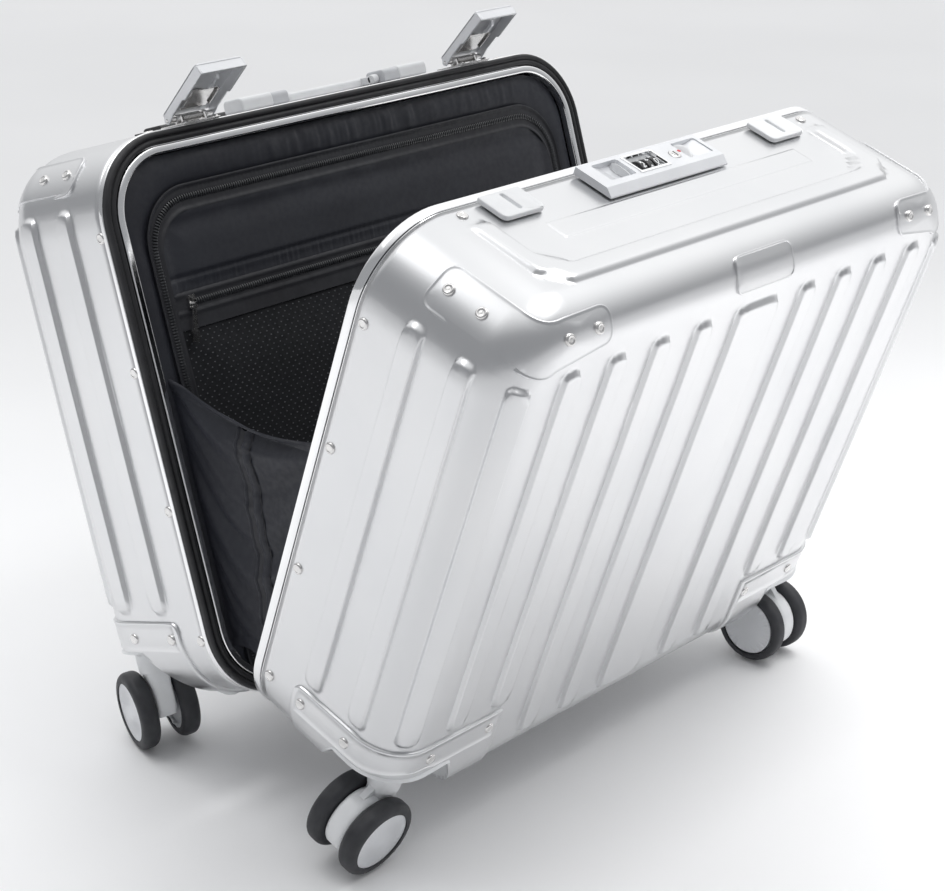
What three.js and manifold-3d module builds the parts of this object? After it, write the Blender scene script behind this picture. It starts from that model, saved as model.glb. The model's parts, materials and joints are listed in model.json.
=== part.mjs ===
// Hard shell suitcase on four twin-wheel casters, standing open in a V.
// Millimetres, +Z up. X runs along the hinge, the back shell leans to +Y and the front shell to -Y.
// The origin is on the floor, under the middle of the standing case's own box.
//
// Both shells are drawn in one "half frame": the opening plane is y = 0, the shell's depth runs
// along +Y, z = 0 is its bottom and x = 0 its middle. The front half is the same frame turned
// half a turn about Z, so its x = + side lies on the left of the standing case.
import * as THREE from 'three';
import { mergeVertices } from 'three/addons/utils/BufferGeometryUtils.js';
import Module from 'manifold-3d';

const wasm = await Module();
wasm.setup();

// ---- driving dimensions ----
const WIDTH = 450;
const HEIGHT = 365;
const CORNER_RADIUS = 52;
const EDGE_RADIUS = 29;
const WALL = 3;
const GAP = 0.3;
const OVERLAP = 5;
const OPENING_REACH = 19;
const BEYOND = 15;
const SPREAD = THREE.MathUtils.degToRad(18.27);
const HINGE_DROP = 12.6;
const HALVES = {
  back: { name: 'back', depth: 116, turn: 0, leftSign: -1 },
  front: { name: 'front', depth: 121, turn: Math.PI, leftSign: 1 },
};

// rim and seal
const RIM_DEPTH = 8;
const RIM_FACE = 0.15;
const RIM_PROUD = 0.6;
const BACK_RIM_WIDTH = 14;
const FRONT_RIM_WIDTH = 12;
const SEAL_WIDTH = 8.3;
const SEAL_DEPTH = 4.1;

// pressed ribs
const RIB_HEIGHT = 3.2;
const RIB_WIDTH = 12.4;
const RIB_PITCH = 40;
const FIRST_RIB = 53.4;
const RIBS_PER_SIDE = 4;
const LONG_RIBS = 2;
const CENTRE_RIB_WIDTH = 39;
const RIB_TOP = 326;
const LONG_RIB_FOOT = 30;
const SHORT_RIB_FOOT = 69;
const SIDE_RIBS_FROM_FACE = [33, 71];
const CORNER_RIB_ANGLE = THREE.MathUtils.degToRad(32);
const RIB_DRAFT = 1.6;
const TOP_BAR = { halfX: 122, fromFace: [79, 64] };
const TOP_FRAME = {
  outerX: 172, innerX: 158, mouth: 28, outerFromFace: 28, innerFromFace: 42, outerCut: 22, innerCut: 11,
};

// corner fittings
const PLATE = 1.6;
const GUARD_FOOT = 338.5;
const GUARD_X_END = 145.5;
const GUARD_X_EDGE = 197.5;
const GUARD_FACE_BAND = 12;
const GUARD_DEPTH_ARM = 78;
const GUARD_CHAMFER = 4;
const GUARD_ELBOW = { x: 8, y: 10 };
const GUARD_ARM_CHAMFER = 6;
const SKIN_START = 4;
const BADGE_HALF_WIDTH = 29;
const BADGE_FOOT = 339.3;
const HOUSING_TOP = 61;
const HOUSING_X_END = 127;
const HOUSING_DEPTH_ARM = 85;

// casters
const CASTER_X = 200;
const CASTER_Y = 102.5;
const POCKET_TOP = 38;
const POCKET_RADIUS = 36;
const POCKET_FLARE = 13 / 39;
const POCKET_BOTTOM = -12;
const CUP_WALL = 2.6;
const TRAIL = 13;
const AXLE_Z = -8;
const WHEEL_RADIUS = 27;
const WHEEL_WIDTH = 13;
const WHEEL_CHAMFER = 3;
const WHEEL_OFFSET = 14.5;
const AXLE_RADIUS = 3.5;
const AXLE_PLAY = 0.3;
const STEM_RADIUS = 5;
const STEM_END = 1;
const STEM_FOOT = 30;
const FORK_HALF = 7;
const FORK_CHEEK_RADIUS = 20;
const FORK_LEG = { back: -10, front: 9, top: 28 };
const FORK_COLLAR = { radius: 10.5, foot: 24 };
const AXLE_RECESS = 1.5;
const CASTER_ANGLES = { back_left: -109.3, back_right: -84, front_left: 180, front_right: -90 };

// latches
const LATCH_X = 130;
const LEVER_OPEN = THREE.MathUtils.degToRad(31);
const LEVER_PIVOT = { y: 15.5, z: 370 };
const LEVER_REACH = 49.5;
const LEVER_HALF_WIDTH = 19.4;
const LEVER_FOOT = 1.4;
const LEVER_TOP = 9.4;
const LEVER_SHEET = 1.6;
const LEVER_PIN_RADIUS = 1.6;
const EAR_X = 9.8;
const EAR_THICK = 1.6;
const EAR_SLOT = 1.2;
const HOOK_HALF = 1.2;
const BRACKET_PLATE = { halfX: 15, y0: 3, y1: 30, thick: 0.8 };
const CATCH = { halfX: 17.5, y0: 8.5, y1: 32, cut: 3, cutY: 2.5, height: 3.2 };
const CATCH_SLOT = { halfX: 1.8, y0: 11, y1: 27.5, floor: 0.8 };

// trolley handle
const TUBE_X = 78;
const TUBE_Y = 98;
const TUBE_FOOT = 20;

// ---- solids ----
function solid(geometry) {
  const bare = geometry.clone();
  bare.deleteAttribute('normal');
  bare.deleteAttribute('uv');
  const merged = mergeVertices(bare, 1e-4);
  const mesh = new wasm.Mesh({
    numProp: 3,
    vertProperties: new Float32Array(merged.attributes.position.array),
    triVerts: new Uint32Array(merged.index.array),
  });
  return new wasm.Manifold(mesh);
}

function geometryOf(body) {
  const mesh = body.getMesh();
  const geometry = new THREE.BufferGeometry();
  geometry.setAttribute('position', new THREE.BufferAttribute(mesh.vertProperties, 3));
  geometry.setIndex(new THREE.BufferAttribute(mesh.triVerts, 1));
  return geometry;
}

function join(bodies) {
  return bodies.reduce((sum, body) => sum.add(body));
}

function ordered(a, b) {
  return a < b ? [a, b] : [b, a];
}

function block(x0, x1, y0, y1, z0, z1) {
  const geometry = new THREE.BoxGeometry(x1 - x0, y1 - y0, z1 - z0);
  geometry.translate((x0 + x1) / 2, (y0 + y1) / 2, (z0 + z1) / 2);
  return solid(geometry);
}

// a round bar along one axis, from one end to the other
function bar(axis, radius, from, to, a, b, sides = 20) {
  const geometry = new THREE.CylinderGeometry(radius, radius, to - from, sides);
  const middle = (from + to) / 2;
  if (axis === 'x') {
    geometry.rotateZ(Math.PI / 2);
    geometry.translate(middle, a, b);
  } else if (axis === 'y') {
    geometry.translate(a, middle, b);
  } else {
    geometry.rotateX(Math.PI / 2);
    geometry.translate(a, b, middle);
  }
  return solid(geometry);
}

// outline points in (a, b), pushed out along the third axis from c0 to c1
function prism(points, axis, c0, c1) {
  const shape = new THREE.Shape(points.map(([a, b]) => new THREE.Vector2(a, b)));
  const geometry = new THREE.ExtrudeGeometry(shape, { depth: c1 - c0, bevelEnabled: false });
  geometry.translate(0, 0, c0);
  if (axis === 'x') {
    geometry.applyMatrix4(new THREE.Matrix4().set(0, 0, 1, 0, 1, 0, 0, 0, 0, 1, 0, 0, 0, 0, 0, 1));
  }
  if (axis === 'y') {
    geometry.applyMatrix4(new THREE.Matrix4().set(0, 1, 0, 0, 0, 0, 1, 0, 1, 0, 0, 0, 0, 0, 0, 1));
  }
  return solid(geometry);
}

// the suitcase outline in the XZ plane, drawn in by inset
function outline(inset, steps = 5) {
  const radius = CORNER_RADIUS - inset;
  const right = WIDTH / 2 - inset - radius;
  const low = inset + radius;
  const high = HEIGHT - inset - radius;
  const centres = [[right, low, -90], [right, high, 0], [-right, high, 90], [-right, low, 180]];
  const points = [];
  for (const [x, z, start] of centres) {
    for (let i = 0; i <= steps; i += 1) {
      const angle = THREE.MathUtils.degToRad(start + (90 * i) / steps);
      points.push([x + radius * Math.cos(angle), z + radius * Math.sin(angle)]);
    }
  }
  return points;
}

// a closed solid through equal outlines stacked along Y
function stack(rows) {
  const positions = [];
  const index = [];
  const count = rows[0].points.length;
  for (const { points, y } of rows) {
    for (const [x, z] of points) {
      positions.push(x, y, z);
    }
  }
  for (let r = 0; r + 1 < rows.length; r += 1) {
    for (let i = 0; i < count; i += 1) {
      const a = r * count + i;
      const b = r * count + ((i + 1) % count);
      index.push(a, a + count, b, b, a + count, b + count);
    }
  }
  const last = (rows.length - 1) * count;
  for (let i = 1; i + 1 < count; i += 1) {
    index.push(0, i, i + 1);
    index.push(last, last + i + 1, last + i);
  }
  const geometry = new THREE.BufferGeometry();
  geometry.setAttribute('position', new THREE.Float32BufferAttribute(positions, 3));
  geometry.setIndex(index);
  return solid(geometry);
}

function plate(inset, y0, y1) {
  return stack([{ points: outline(inset), y: y0 }, { points: outline(inset), y: y1 }]);
}

function ring(outerInset, innerInset, y0, y1) {
  return plate(outerInset, y0, y1).subtract(plate(innerInset, y0 - 1, y1 + 1));
}

// the shell's own volume, grown all round, from the plane y = start to the outer face
function pan(depth, grow, start, steps = 4) {
  const rows = [{ points: outline(-grow), y: start }];
  for (let i = 0; i <= steps; i += 1) {
    const angle = (Math.PI / 2) * (i / steps);
    const radius = EDGE_RADIUS + grow;
    const inset = radius * (1 - Math.cos(angle)) - grow;
    rows.push({ points: outline(inset), y: depth - EDGE_RADIUS + radius * Math.sin(angle) });
  }
  return stack(rows);
}

// ---- shells ----
function ribSection(width) {
  const foot = width / 2 + RIB_DRAFT;
  return [[-foot, -1], [foot, -1], [width / 2, RIB_HEIGHT], [-width / 2, RIB_HEIGHT]];
}

// an upright rib whose foot line stands at (x, y) and faces the direction angle from +Y towards +X
function uprightRib(x, y, angle, width, z0, z1) {
  const shape = new THREE.Shape(ribSection(width).map(([a, b]) => new THREE.Vector2(a, b)));
  const geometry = new THREE.ExtrudeGeometry(shape, { depth: z1 - z0, bevelEnabled: false });
  geometry.rotateZ(-angle);
  geometry.translate(x, y, z0);
  return solid(geometry);
}

function shellRibs(depth) {
  const ribs = [uprightRib(0, depth, 0, CENTRE_RIB_WIDTH, LONG_RIB_FOOT, RIB_TOP)];
  for (const side of [-1, 1]) {
    for (let i = 0; i < RIBS_PER_SIDE; i += 1) {
      const foot = i < LONG_RIBS ? LONG_RIB_FOOT : SHORT_RIB_FOOT;
      const x = side * (FIRST_RIB + i * RIB_PITCH);
      ribs.push(uprightRib(x, depth, 0, RIB_WIDTH, foot, RIB_TOP));
    }
    const cornerX = WIDTH / 2 - EDGE_RADIUS * (1 - Math.sin(CORNER_RIB_ANGLE));
    const cornerY = depth - EDGE_RADIUS * (1 - Math.cos(CORNER_RIB_ANGLE));
    const turned = side * CORNER_RIB_ANGLE;
    ribs.push(uprightRib(side * cornerX, cornerY, turned, RIB_WIDTH, SHORT_RIB_FOOT, RIB_TOP));
    for (const inward of SIDE_RIBS_FROM_FACE) {
      const turn = (side * Math.PI) / 2;
      ribs.push(uprightRib((side * WIDTH) / 2, depth - inward, turn, RIB_WIDTH, SHORT_RIB_FOOT, RIB_TOP));
    }
  }
  return ribs;
}

// a bar and a U-shaped frame pressed up out of the front shell's top
function topRibs(depth) {
  const z0 = HEIGHT - 1;
  const z1 = HEIGHT + RIB_HEIGHT;
  const [far, near] = TOP_BAR.fromFace.map((inward) => depth - inward);
  const { outerX, innerX, mouth, outerCut, innerCut } = TOP_FRAME;
  const outerY = depth - TOP_FRAME.outerFromFace;
  const innerY = depth - TOP_FRAME.innerFromFace;
  const barRib = prism([
    [-TOP_BAR.halfX, far], [TOP_BAR.halfX, far], [TOP_BAR.halfX, near], [-TOP_BAR.halfX, near],
  ], 'z', z0, z1);
  const frameRib = prism([
    [-outerX, mouth], [-innerX, mouth],
    [-innerX, innerY - innerCut], [-innerX + innerCut, innerY],
    [innerX - innerCut, innerY], [innerX, innerY - innerCut],
    [innerX, mouth], [outerX, mouth],
    [outerX, outerY - outerCut], [outerX - outerCut, outerY],
    [-outerX + outerCut, outerY], [-outerX, outerY - outerCut],
  ], 'z', z0, z1);
  return [barRib, frameRib];
}

function casterPocket(side, clear) {
  const rise = POCKET_TOP + clear - POCKET_BOTTOM;
  const top = POCKET_RADIUS + clear;
  const geometry = new THREE.CylinderGeometry(top, top + rise * POCKET_FLARE, rise, 24);
  geometry.rotateX(Math.PI / 2);
  geometry.translate(side * CASTER_X, CASTER_Y, POCKET_BOTTOM + rise / 2);
  return solid(geometry);
}

// a rectangular opening right through the shell's top
function topOpening({ x0, x1, y0, y1 }, clear) {
  const zs = [HEIGHT - OPENING_REACH, HEIGHT + OPENING_REACH];
  return block(x0 - clear, x1 + clear, y0 - clear, y1 + clear, zs[0], zs[1]);
}

function shell({ name, depth }) {
  const start = RIM_DEPTH + GAP;
  let body = pan(depth, 0, start).subtract(pan(depth, -WALL, start - OVERLAP));
  body = join([body, ...shellRibs(depth)]);
  if (name === 'front') {
    body = join([body, ...topRibs(depth)]);
    body = body.subtract(topOpening(LOCK_WELL, GAP));
  } else {
    body = body.subtract(topOpening(BEZEL, GAP));
  }
  for (const side of [-1, 1]) {
    body = body.subtract(casterPocket(side, CUP_WALL + GAP));
  }
  const limits = pan(depth, RIB_HEIGHT + 1, start - OVERLAP);
  return body.intersect(limits.subtract(pan(depth, -WALL, start - OVERLAP - 1)));
}

// ---- rims and seal ----
function backRim() {
  const seat = ring(-RIM_PROUD, BACK_RIM_WIDTH, SEAL_DEPTH + GAP, RIM_DEPTH);
  const lip = ring(SEAL_WIDTH + GAP, BACK_RIM_WIDTH, RIM_FACE, RIM_DEPTH);
  return seat.add(lip);
}

function frontRim() {
  return ring(-RIM_PROUD, FRONT_RIM_WIDTH, RIM_FACE, RIM_DEPTH);
}

function seal() {
  return ring(0, SEAL_WIDTH, RIM_FACE, SEAL_DEPTH);
}

// ---- corner fittings ----
function skin(depth) {
  return pan(depth, GAP + PLATE, RIM_DEPTH + SKIN_START).subtract(pan(depth, GAP, RIM_DEPTH));
}

function cornerGuard({ depth }, side) {
  const band = depth - GUARD_FACE_BAND;
  const arm = depth - GUARD_DEPTH_ARM;
  const face = depth + BEYOND;
  const wall = WIDTH / 2 + BEYOND;
  const plan = [
    [GUARD_X_END + GUARD_CHAMFER, band], [GUARD_X_EDGE - GUARD_ELBOW.x, band],
    [GUARD_X_EDGE, band - GUARD_ELBOW.y], [GUARD_X_EDGE, arm + GUARD_ARM_CHAMFER],
    [GUARD_X_EDGE + GUARD_ARM_CHAMFER, arm], [wall, arm], [wall, face],
    [GUARD_X_END, face], [GUARD_X_END, band + GUARD_CHAMFER],
  ];
  const region = prism(plan.map(([x, y]) => [side * x, y]), 'z', GUARD_FOOT, HEIGHT + BEYOND);
  return skin(depth).intersect(region);
}

function badgePlate({ depth }) {
  const band = depth - GUARD_FACE_BAND;
  const halfX = BADGE_HALF_WIDTH;
  const region = block(-halfX, halfX, band, depth + BEYOND, BADGE_FOOT, HEIGHT + BEYOND);
  return skin(depth).intersect(region);
}

function wheelHousing({ depth }, side) {
  const xs = ordered(side * HOUSING_X_END, side * (WIDTH / 2 + BEYOND));
  const region = block(xs[0], xs[1], depth - HOUSING_DEPTH_ARM, depth + BEYOND, -BEYOND, HOUSING_TOP);
  const cup = casterPocket(side, CUP_WALL).intersect(pan(depth, GAP + PLATE, RIM_DEPTH + SKIN_START));
  const stemTop = POCKET_TOP + BEYOND;
  const stemHole = bar('z', STEM_RADIUS + AXLE_PLAY, STEM_FOOT, stemTop, side * CASTER_X, CASTER_Y, 16);
  return skin(depth).intersect(region).add(cup).subtract(casterPocket(side, 0)).subtract(stemHole);
}

// ---- casters, drawn about their own stem: the wheels trail to -X and the axle runs along Y ----
function casterFork() {
  const cheek = bar('y', FORK_CHEEK_RADIUS, -FORK_HALF, FORK_HALF, -TRAIL, AXLE_Z, 24);
  const leg = block(FORK_LEG.back, FORK_LEG.front, -FORK_HALF, FORK_HALF, AXLE_Z, FORK_LEG.top);
  const collar = bar('z', FORK_COLLAR.radius, FORK_COLLAR.foot, POCKET_TOP - GAP, 0, 0, 20);
  const stem = bar('z', STEM_RADIUS, STEM_FOOT, POCKET_TOP + CUP_WALL + STEM_END, 0, 0, 16);
  const boreReach = FORK_HALF + BEYOND;
  const bore = bar('y', AXLE_RADIUS + AXLE_PLAY, -boreReach, boreReach, -TRAIL, AXLE_Z, 16);
  return join([cheek, leg, collar, stem]).subtract(bore);
}

function casterAxle() {
  const end = WHEEL_OFFSET + WHEEL_WIDTH / 2 - AXLE_RECESS;
  return bar('y', AXLE_RADIUS, -end, end, -TRAIL, AXLE_Z, 16);
}

function casterWheel() {
  const bore = AXLE_RADIUS + AXLE_PLAY;
  const halfWidth = WHEEL_WIDTH / 2;
  const shoulder = WHEEL_RADIUS - WHEEL_CHAMFER;
  const profile = [
    [bore, -halfWidth], [shoulder, -halfWidth], [WHEEL_RADIUS, -halfWidth + WHEEL_CHAMFER],
    [WHEEL_RADIUS, halfWidth - WHEEL_CHAMFER], [shoulder, halfWidth], [bore, halfWidth], [bore, -halfWidth],
  ];
  return solid(new THREE.LatheGeometry(profile.map(([r, y]) => new THREE.Vector2(r, y)), 22));
}

// ---- hinges ----
const HINGE_X = 130;
const HINGE_HALF = 25;
const KNUCKLE_RADIUS = 5;
const KNUCKLE_SPLIT = 8.5;
const PIN_RADIUS = 2.3;
const PIN_END = 1;
const KNUCKLE_GAP = 0.5;
const LEAF = { edge: 0.6, end: 27, thick: 3, web: 4.6 };

// the front leaf carries the pin in its middle knuckle, the back leaf turns on it with two knuckles
function hingeLeaf(x, spans, hasPin) {
  const top = -RIM_PROUD - GAP;
  const leaf = block(x - HINGE_HALF, x + HINGE_HALF, LEAF.edge, LEAF.end, top - LEAF.thick, top);
  const parts = [leaf];
  for (const [from, to] of spans) {
    parts.push(bar('x', KNUCKLE_RADIUS, x + from, x + to, 0, -HINGE_DROP, 16));
    parts.push(block(x + from, x + to, LEAF.edge, LEAF.web, -HINGE_DROP, top - 1));
  }
  const pinEnd = HINGE_HALF + PIN_END;
  if (hasPin) {
    return join(parts).add(bar('x', PIN_RADIUS, x - pinEnd, x + pinEnd, 0, -HINGE_DROP, 16));
  }
  const boreEnd = HINGE_HALF + BEYOND;
  return join(parts).subtract(bar('x', PIN_RADIUS + AXLE_PLAY, x - boreEnd, x + boreEnd, 0, -HINGE_DROP, 16));
}

// ---- draw latches: lever and bracket on the back half, catch on the front half ----
const DECK = HEIGHT + RIM_PROUD + GAP;

function latchLever() {
  const { y, z } = LEVER_PIVOT;
  const tip = y - LEVER_REACH;
  const foot = DECK + LEVER_FOOT;
  const top = DECK + LEVER_TOP;
  const halfWidth = LEVER_HALF_WIDTH;
  const sheet = LEVER_SHEET;
  const outer = prism([
    [tip, foot], [tip, top - 2], [tip + 2, top], [y - 1, top], [y + 2.7, z + 1.3],
    [y + 2.7, z - 1], [y + 1.3, z - 2.6], [y - 4, foot],
  ], 'x', -halfWidth, halfWidth);
  const hollowHalf = halfWidth - sheet;
  const hollow = block(-hollowHalf, hollowHalf, tip + sheet, y - 9, foot - OVERLAP, top - sheet);
  const hook = prism([
    [-26, top - 1], [-12, top - 1], [-14, DECK + 4.4], [-17, foot], [-24, foot], [-25, DECK + 3.4],
  ], 'x', -HOOK_HALF, HOOK_HALF);
  const boreEnd = halfWidth + BEYOND;
  const bore = bar('x', LEVER_PIN_RADIUS + AXLE_PLAY, -boreEnd, boreEnd, y, z, 16);
  let body = outer.subtract(hollow).add(hook).subtract(bore);
  for (const side of [-1, 1]) {
    const xs = ordered(side * (EAR_X - EAR_SLOT), side * (EAR_X + EAR_SLOT));
    body = body.subtract(block(xs[0], xs[1], y - 7, y + 8, foot - OVERLAP, z + 4.3));
  }
  return body;
}

function latchBracket(x) {
  const { y, z } = LEVER_PIVOT;
  const { halfX, y0, y1, thick } = BRACKET_PLATE;
  const parts = [block(x - halfX, x + halfX, y0, y1, DECK, DECK + thick)];
  for (const side of [-1, 1]) {
    const middle = x + side * EAR_X;
    const ear = prism([
      [y - 3.6, DECK], [y + 3.6, DECK], [y + 3.2, z + 1],
      [y + 1.5, z + 3], [y - 1.5, z + 3], [y - 3.2, z + 1],
    ], 'x', middle - EAR_THICK / 2, middle + EAR_THICK / 2);
    parts.push(ear);
  }
  const pinEnd = LEVER_HALF_WIDTH - 1.9;
  return join(parts).add(bar('x', LEVER_PIN_RADIUS, x - pinEnd, x + pinEnd, y, z, 12));
}

function latchCatch(x) {
  const { halfX, y0, y1, cut, cutY } = CATCH;
  const top = DECK + CATCH.height;
  const body = prism([
    [x - halfX, y0], [x + halfX, y0], [x + halfX, y1 - cutY],
    [x + halfX - cut, y1], [x - halfX + cut, y1], [x - halfX, y1 - cutY],
  ], 'z', DECK, top);
  const slot = CATCH_SLOT;
  return body.subtract(block(x - slot.halfX, x + slot.halfX, slot.y0, slot.y1, DECK + slot.floor, top + 1));
}

// ---- combination lock on the front half; +X is the left of the standing case here ----
const LOCK_WELL = { x0: -7, x1: 23, y0: 10, y1: 31 };
const DIAL_RADIUS = 7.6;
const DIAL_WIDTH = 5.4;
const DIAL_PITCH = 6.4;
const DIAL_Z = 364.4;
const DIAL_Y = 21.5;
const DIAL_MIDDLE = 8;
const DIAL_BORE = 2;
const BUTTON_X = 38.5;
const LOCK_COVER = { x0: -54, x1: 61, y0: 8, y1: 39, topY: 34, height: 5 };
const WELL_FLOOR = 353;
const WELL_WALL = { side: 2, front: 1, back: 1.6, floor: 1.4 };
const DIAL_AXLE_RADIUS = 1.6;
const BUTTON_RECESS = { halfX: 12, y0: 10.5, y1: 28.5, floor: 1.2 };
const BUTTON = { inward: 10.8, width: 7.5, y0: 11, y1: 28, z0: 1.5, z1: 4.6 };
const KEY = {
  x: -19, radius: 4, bore: 4.3, z0: 1.3, z1: 5.6, slotHalfX: 0.5, slotHalfY: 2.4, slotFloor: 3.4,
};

function lockHousing() {
  const { x0, x1, y0, y1, topY, height } = LOCK_COVER;
  const top = DECK + height;
  const cover = prism([[y0, DECK], [y0, top], [topY, top], [y1, DECK]], 'x', x0, x1);
  const well = block(LOCK_WELL.x0, LOCK_WELL.x1, LOCK_WELL.y0, LOCK_WELL.y1, WELL_FLOOR, DECK + 1);
  const inside = {
    x0: LOCK_WELL.x0 + WELL_WALL.side,
    x1: LOCK_WELL.x1 - WELL_WALL.side,
    y0: LOCK_WELL.y0 + WELL_WALL.front,
    y1: LOCK_WELL.y1 - WELL_WALL.back,
  };
  const floor = WELL_FLOOR + WELL_WALL.floor;
  const dials = block(inside.x0, inside.x1, inside.y0, inside.y1, floor, top + 1);
  const axle = bar('x', DIAL_AXLE_RADIUS, inside.x0 - 1, inside.x1 + 1, DIAL_Y, DIAL_Z, 12);
  const keyhole = bar('z', KEY.bore, DECK + 1, top + 1, KEY.x, DIAL_Y, 20);
  let body = cover.add(well).subtract(dials).add(axle).subtract(keyhole);
  const recess = BUTTON_RECESS;
  for (const side of [-1, 1]) {
    const xs = [side * BUTTON_X - recess.halfX, side * BUTTON_X + recess.halfX];
    body = body.subtract(block(xs[0], xs[1], recess.y0, recess.y1, DECK + recess.floor, top + 1));
  }
  return body;
}

function lockDial() {
  const end = DIAL_WIDTH / 2;
  const profile = [
    [DIAL_BORE, -end], [DIAL_RADIUS, -end], [DIAL_RADIUS, end], [DIAL_BORE, end], [DIAL_BORE, -end],
  ];
  const geometry = new THREE.LatheGeometry(profile.map(([r, y]) => new THREE.Vector2(r, y)), 20);
  geometry.rotateZ(Math.PI / 2);
  return solid(geometry);
}

function lockButton(side) {
  const inner = side * (BUTTON_X - BUTTON.inward);
  const xs = ordered(inner, inner + side * BUTTON.width);
  return block(xs[0], xs[1], BUTTON.y0, BUTTON.y1, DECK + BUTTON.z0, DECK + BUTTON.z1);
}

function keyCylinder() {
  const plug = bar('z', KEY.radius, DECK + KEY.z0, DECK + KEY.z1, KEY.x, DIAL_Y, 20);
  const xs = [KEY.x - KEY.slotHalfX, KEY.x + KEY.slotHalfX];
  const ys = [DIAL_Y - KEY.slotHalfY, DIAL_Y + KEY.slotHalfY];
  return plug.subtract(block(xs[0], xs[1], ys[0], ys[1], DECK + KEY.slotFloor, DECK + KEY.z1 + 1));
}

// ---- carry handle ----
const HANDLE_PIVOT = { y: 20.5, z: 369.4 };
const HANDLE = { halfX: 44.8, armX: 39, y0: 30, y1: 48, armEnd: 34, below: 3.2, above: 2.6 };
const HANDLE_BOSS_RADIUS = 3.2;
const HANDLE_PIN = { radius: 1.8, from: 40, to: 52, play: 0.3, boreEnd: 54 };
const HANDLE_END = { x0: 45.2, x1: 87, y0: 13, y1: 31, shoulder: 371, top: 373.4, cut: 3 };

function carryHandle() {
  const { y, z } = HANDLE_PIVOT;
  const foot = z - HANDLE.below;
  const top = z + HANDLE.above;
  const parts = [block(-HANDLE.halfX, HANDLE.halfX, HANDLE.y0, HANDLE.y1, foot, top)];
  for (const side of [-1, 1]) {
    const xs = ordered(side * HANDLE.armX, side * HANDLE.halfX);
    parts.push(block(xs[0], xs[1], y, HANDLE.armEnd, foot, top));
    parts.push(bar('x', HANDLE_BOSS_RADIUS, xs[0], xs[1], y, z, 16));
    const pins = ordered(side * HANDLE_PIN.from, side * HANDLE_PIN.to);
    parts.push(bar('x', HANDLE_PIN.radius, pins[0], pins[1], y, z, 12));
  }
  return join(parts);
}

function handleBracket(side) {
  const { y0, y1, shoulder, top, cut } = HANDLE_END;
  const xs = ordered(side * HANDLE_END.x0, side * HANDLE_END.x1);
  const body = prism([
    [y0, DECK], [y1, DECK], [y1, shoulder], [y1 - cut, top], [y0 + cut, top], [y0, shoulder],
  ], 'x', xs[0], xs[1]);
  const bores = ordered(side * HANDLE_PIN.from, side * HANDLE_PIN.boreEnd);
  const boreRadius = HANDLE_PIN.radius + HANDLE_PIN.play;
  return body.subtract(bar('x', boreRadius, bores[0], bores[1], HANDLE_PIVOT.y, HANDLE_PIVOT.z, 12));
}

// ---- telescopic trolley handle at the back of the back shell ----
const BEZEL = { x0: -104, x1: 104, y0: 85, y1: 110, z0: 347, top: 367.5, lip: 4 };
const GRIP_WELL = { floor: 357.5, clear: 0.6 };
const GUIDE_FOOT = { overX: 14, halfY: 9, thick: 6 };
const TUBE_FLOOR = { guide: 1.5, middle: 2 };
const TUBE_GAPS = { guideTop: 5, middleFoot: 4, middleTop: 0.5, innerFoot: 8 };
const GRIP = { halfX: 98, y0: 87, y1: 108, cut: 3, shoulder: 8, height: 12 };
const GRIP_SEAT = { halfX: 16.4, y0: 92.6, y1: 102.4, floor: 6 };
const RELEASE = { halfX: 16, y0: 93, y1: 102, z0: 9.2, z1: 13.4 };
const TUBES = {
  outer: { x: 10, y: 7, wall: 1.5 },
  middle: { x: 8.2, y: 5.2, wall: 1.5 },
  inner: { x: 6.4, y: 3.4 },
};

function tubeBox(side, size, z0, z1) {
  const x = side * TUBE_X;
  return block(x - size.x, x + size.x, TUBE_Y - size.y, TUBE_Y + size.y, z0, z1);
}

function hollowTube(side, size, z0, z1, floor) {
  const inside = { x: size.x - size.wall, y: size.y - size.wall };
  return tubeBox(side, size, z0, z1).subtract(tubeBox(side, inside, z0 + floor, z1 + 1));
}

function trolleyBezel() {
  const { floor, clear } = GRIP_WELL;
  const wellX = GRIP.halfX + clear;
  const well = block(-wellX, wellX, GRIP.y0 - clear, GRIP.y1 + clear, floor, BEZEL.top + OVERLAP);
  let body = block(BEZEL.x0, BEZEL.x1, BEZEL.y0, BEZEL.y1, BEZEL.z0, BEZEL.top).subtract(well);
  for (const side of [-1, 1]) {
    const socket = { x: TUBES.outer.x + GAP, y: TUBES.outer.y + GAP };
    const throat = { x: TUBES.middle.x + GAP, y: TUBES.middle.y + GAP };
    body = body.subtract(tubeBox(side, socket, BEZEL.z0 - BEYOND, floor - BEZEL.lip));
    body = body.subtract(tubeBox(side, throat, BEZEL.z0 - BEYOND, floor + OVERLAP));
  }
  return body;
}

function trolleyGuide() {
  const { overX, halfY, thick } = GUIDE_FOOT;
  const end = TUBE_X + overX;
  const foot = block(-end, end, TUBE_Y - halfY, TUBE_Y + halfY, TUBE_FOOT - thick, TUBE_FOOT);
  const top = GRIP_WELL.floor - TUBE_GAPS.guideTop;
  const tubes = [-1, 1].map((side) => hollowTube(side, TUBES.outer, TUBE_FOOT - 1, top, TUBE_FLOOR.guide));
  return join([foot, ...tubes]);
}

function trolleyMiddleTube(side) {
  const foot = TUBE_FOOT + TUBE_GAPS.middleFoot;
  return hollowTube(side, TUBES.middle, foot, GRIP_WELL.floor - TUBE_GAPS.middleTop, TUBE_FLOOR.middle);
}

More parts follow.
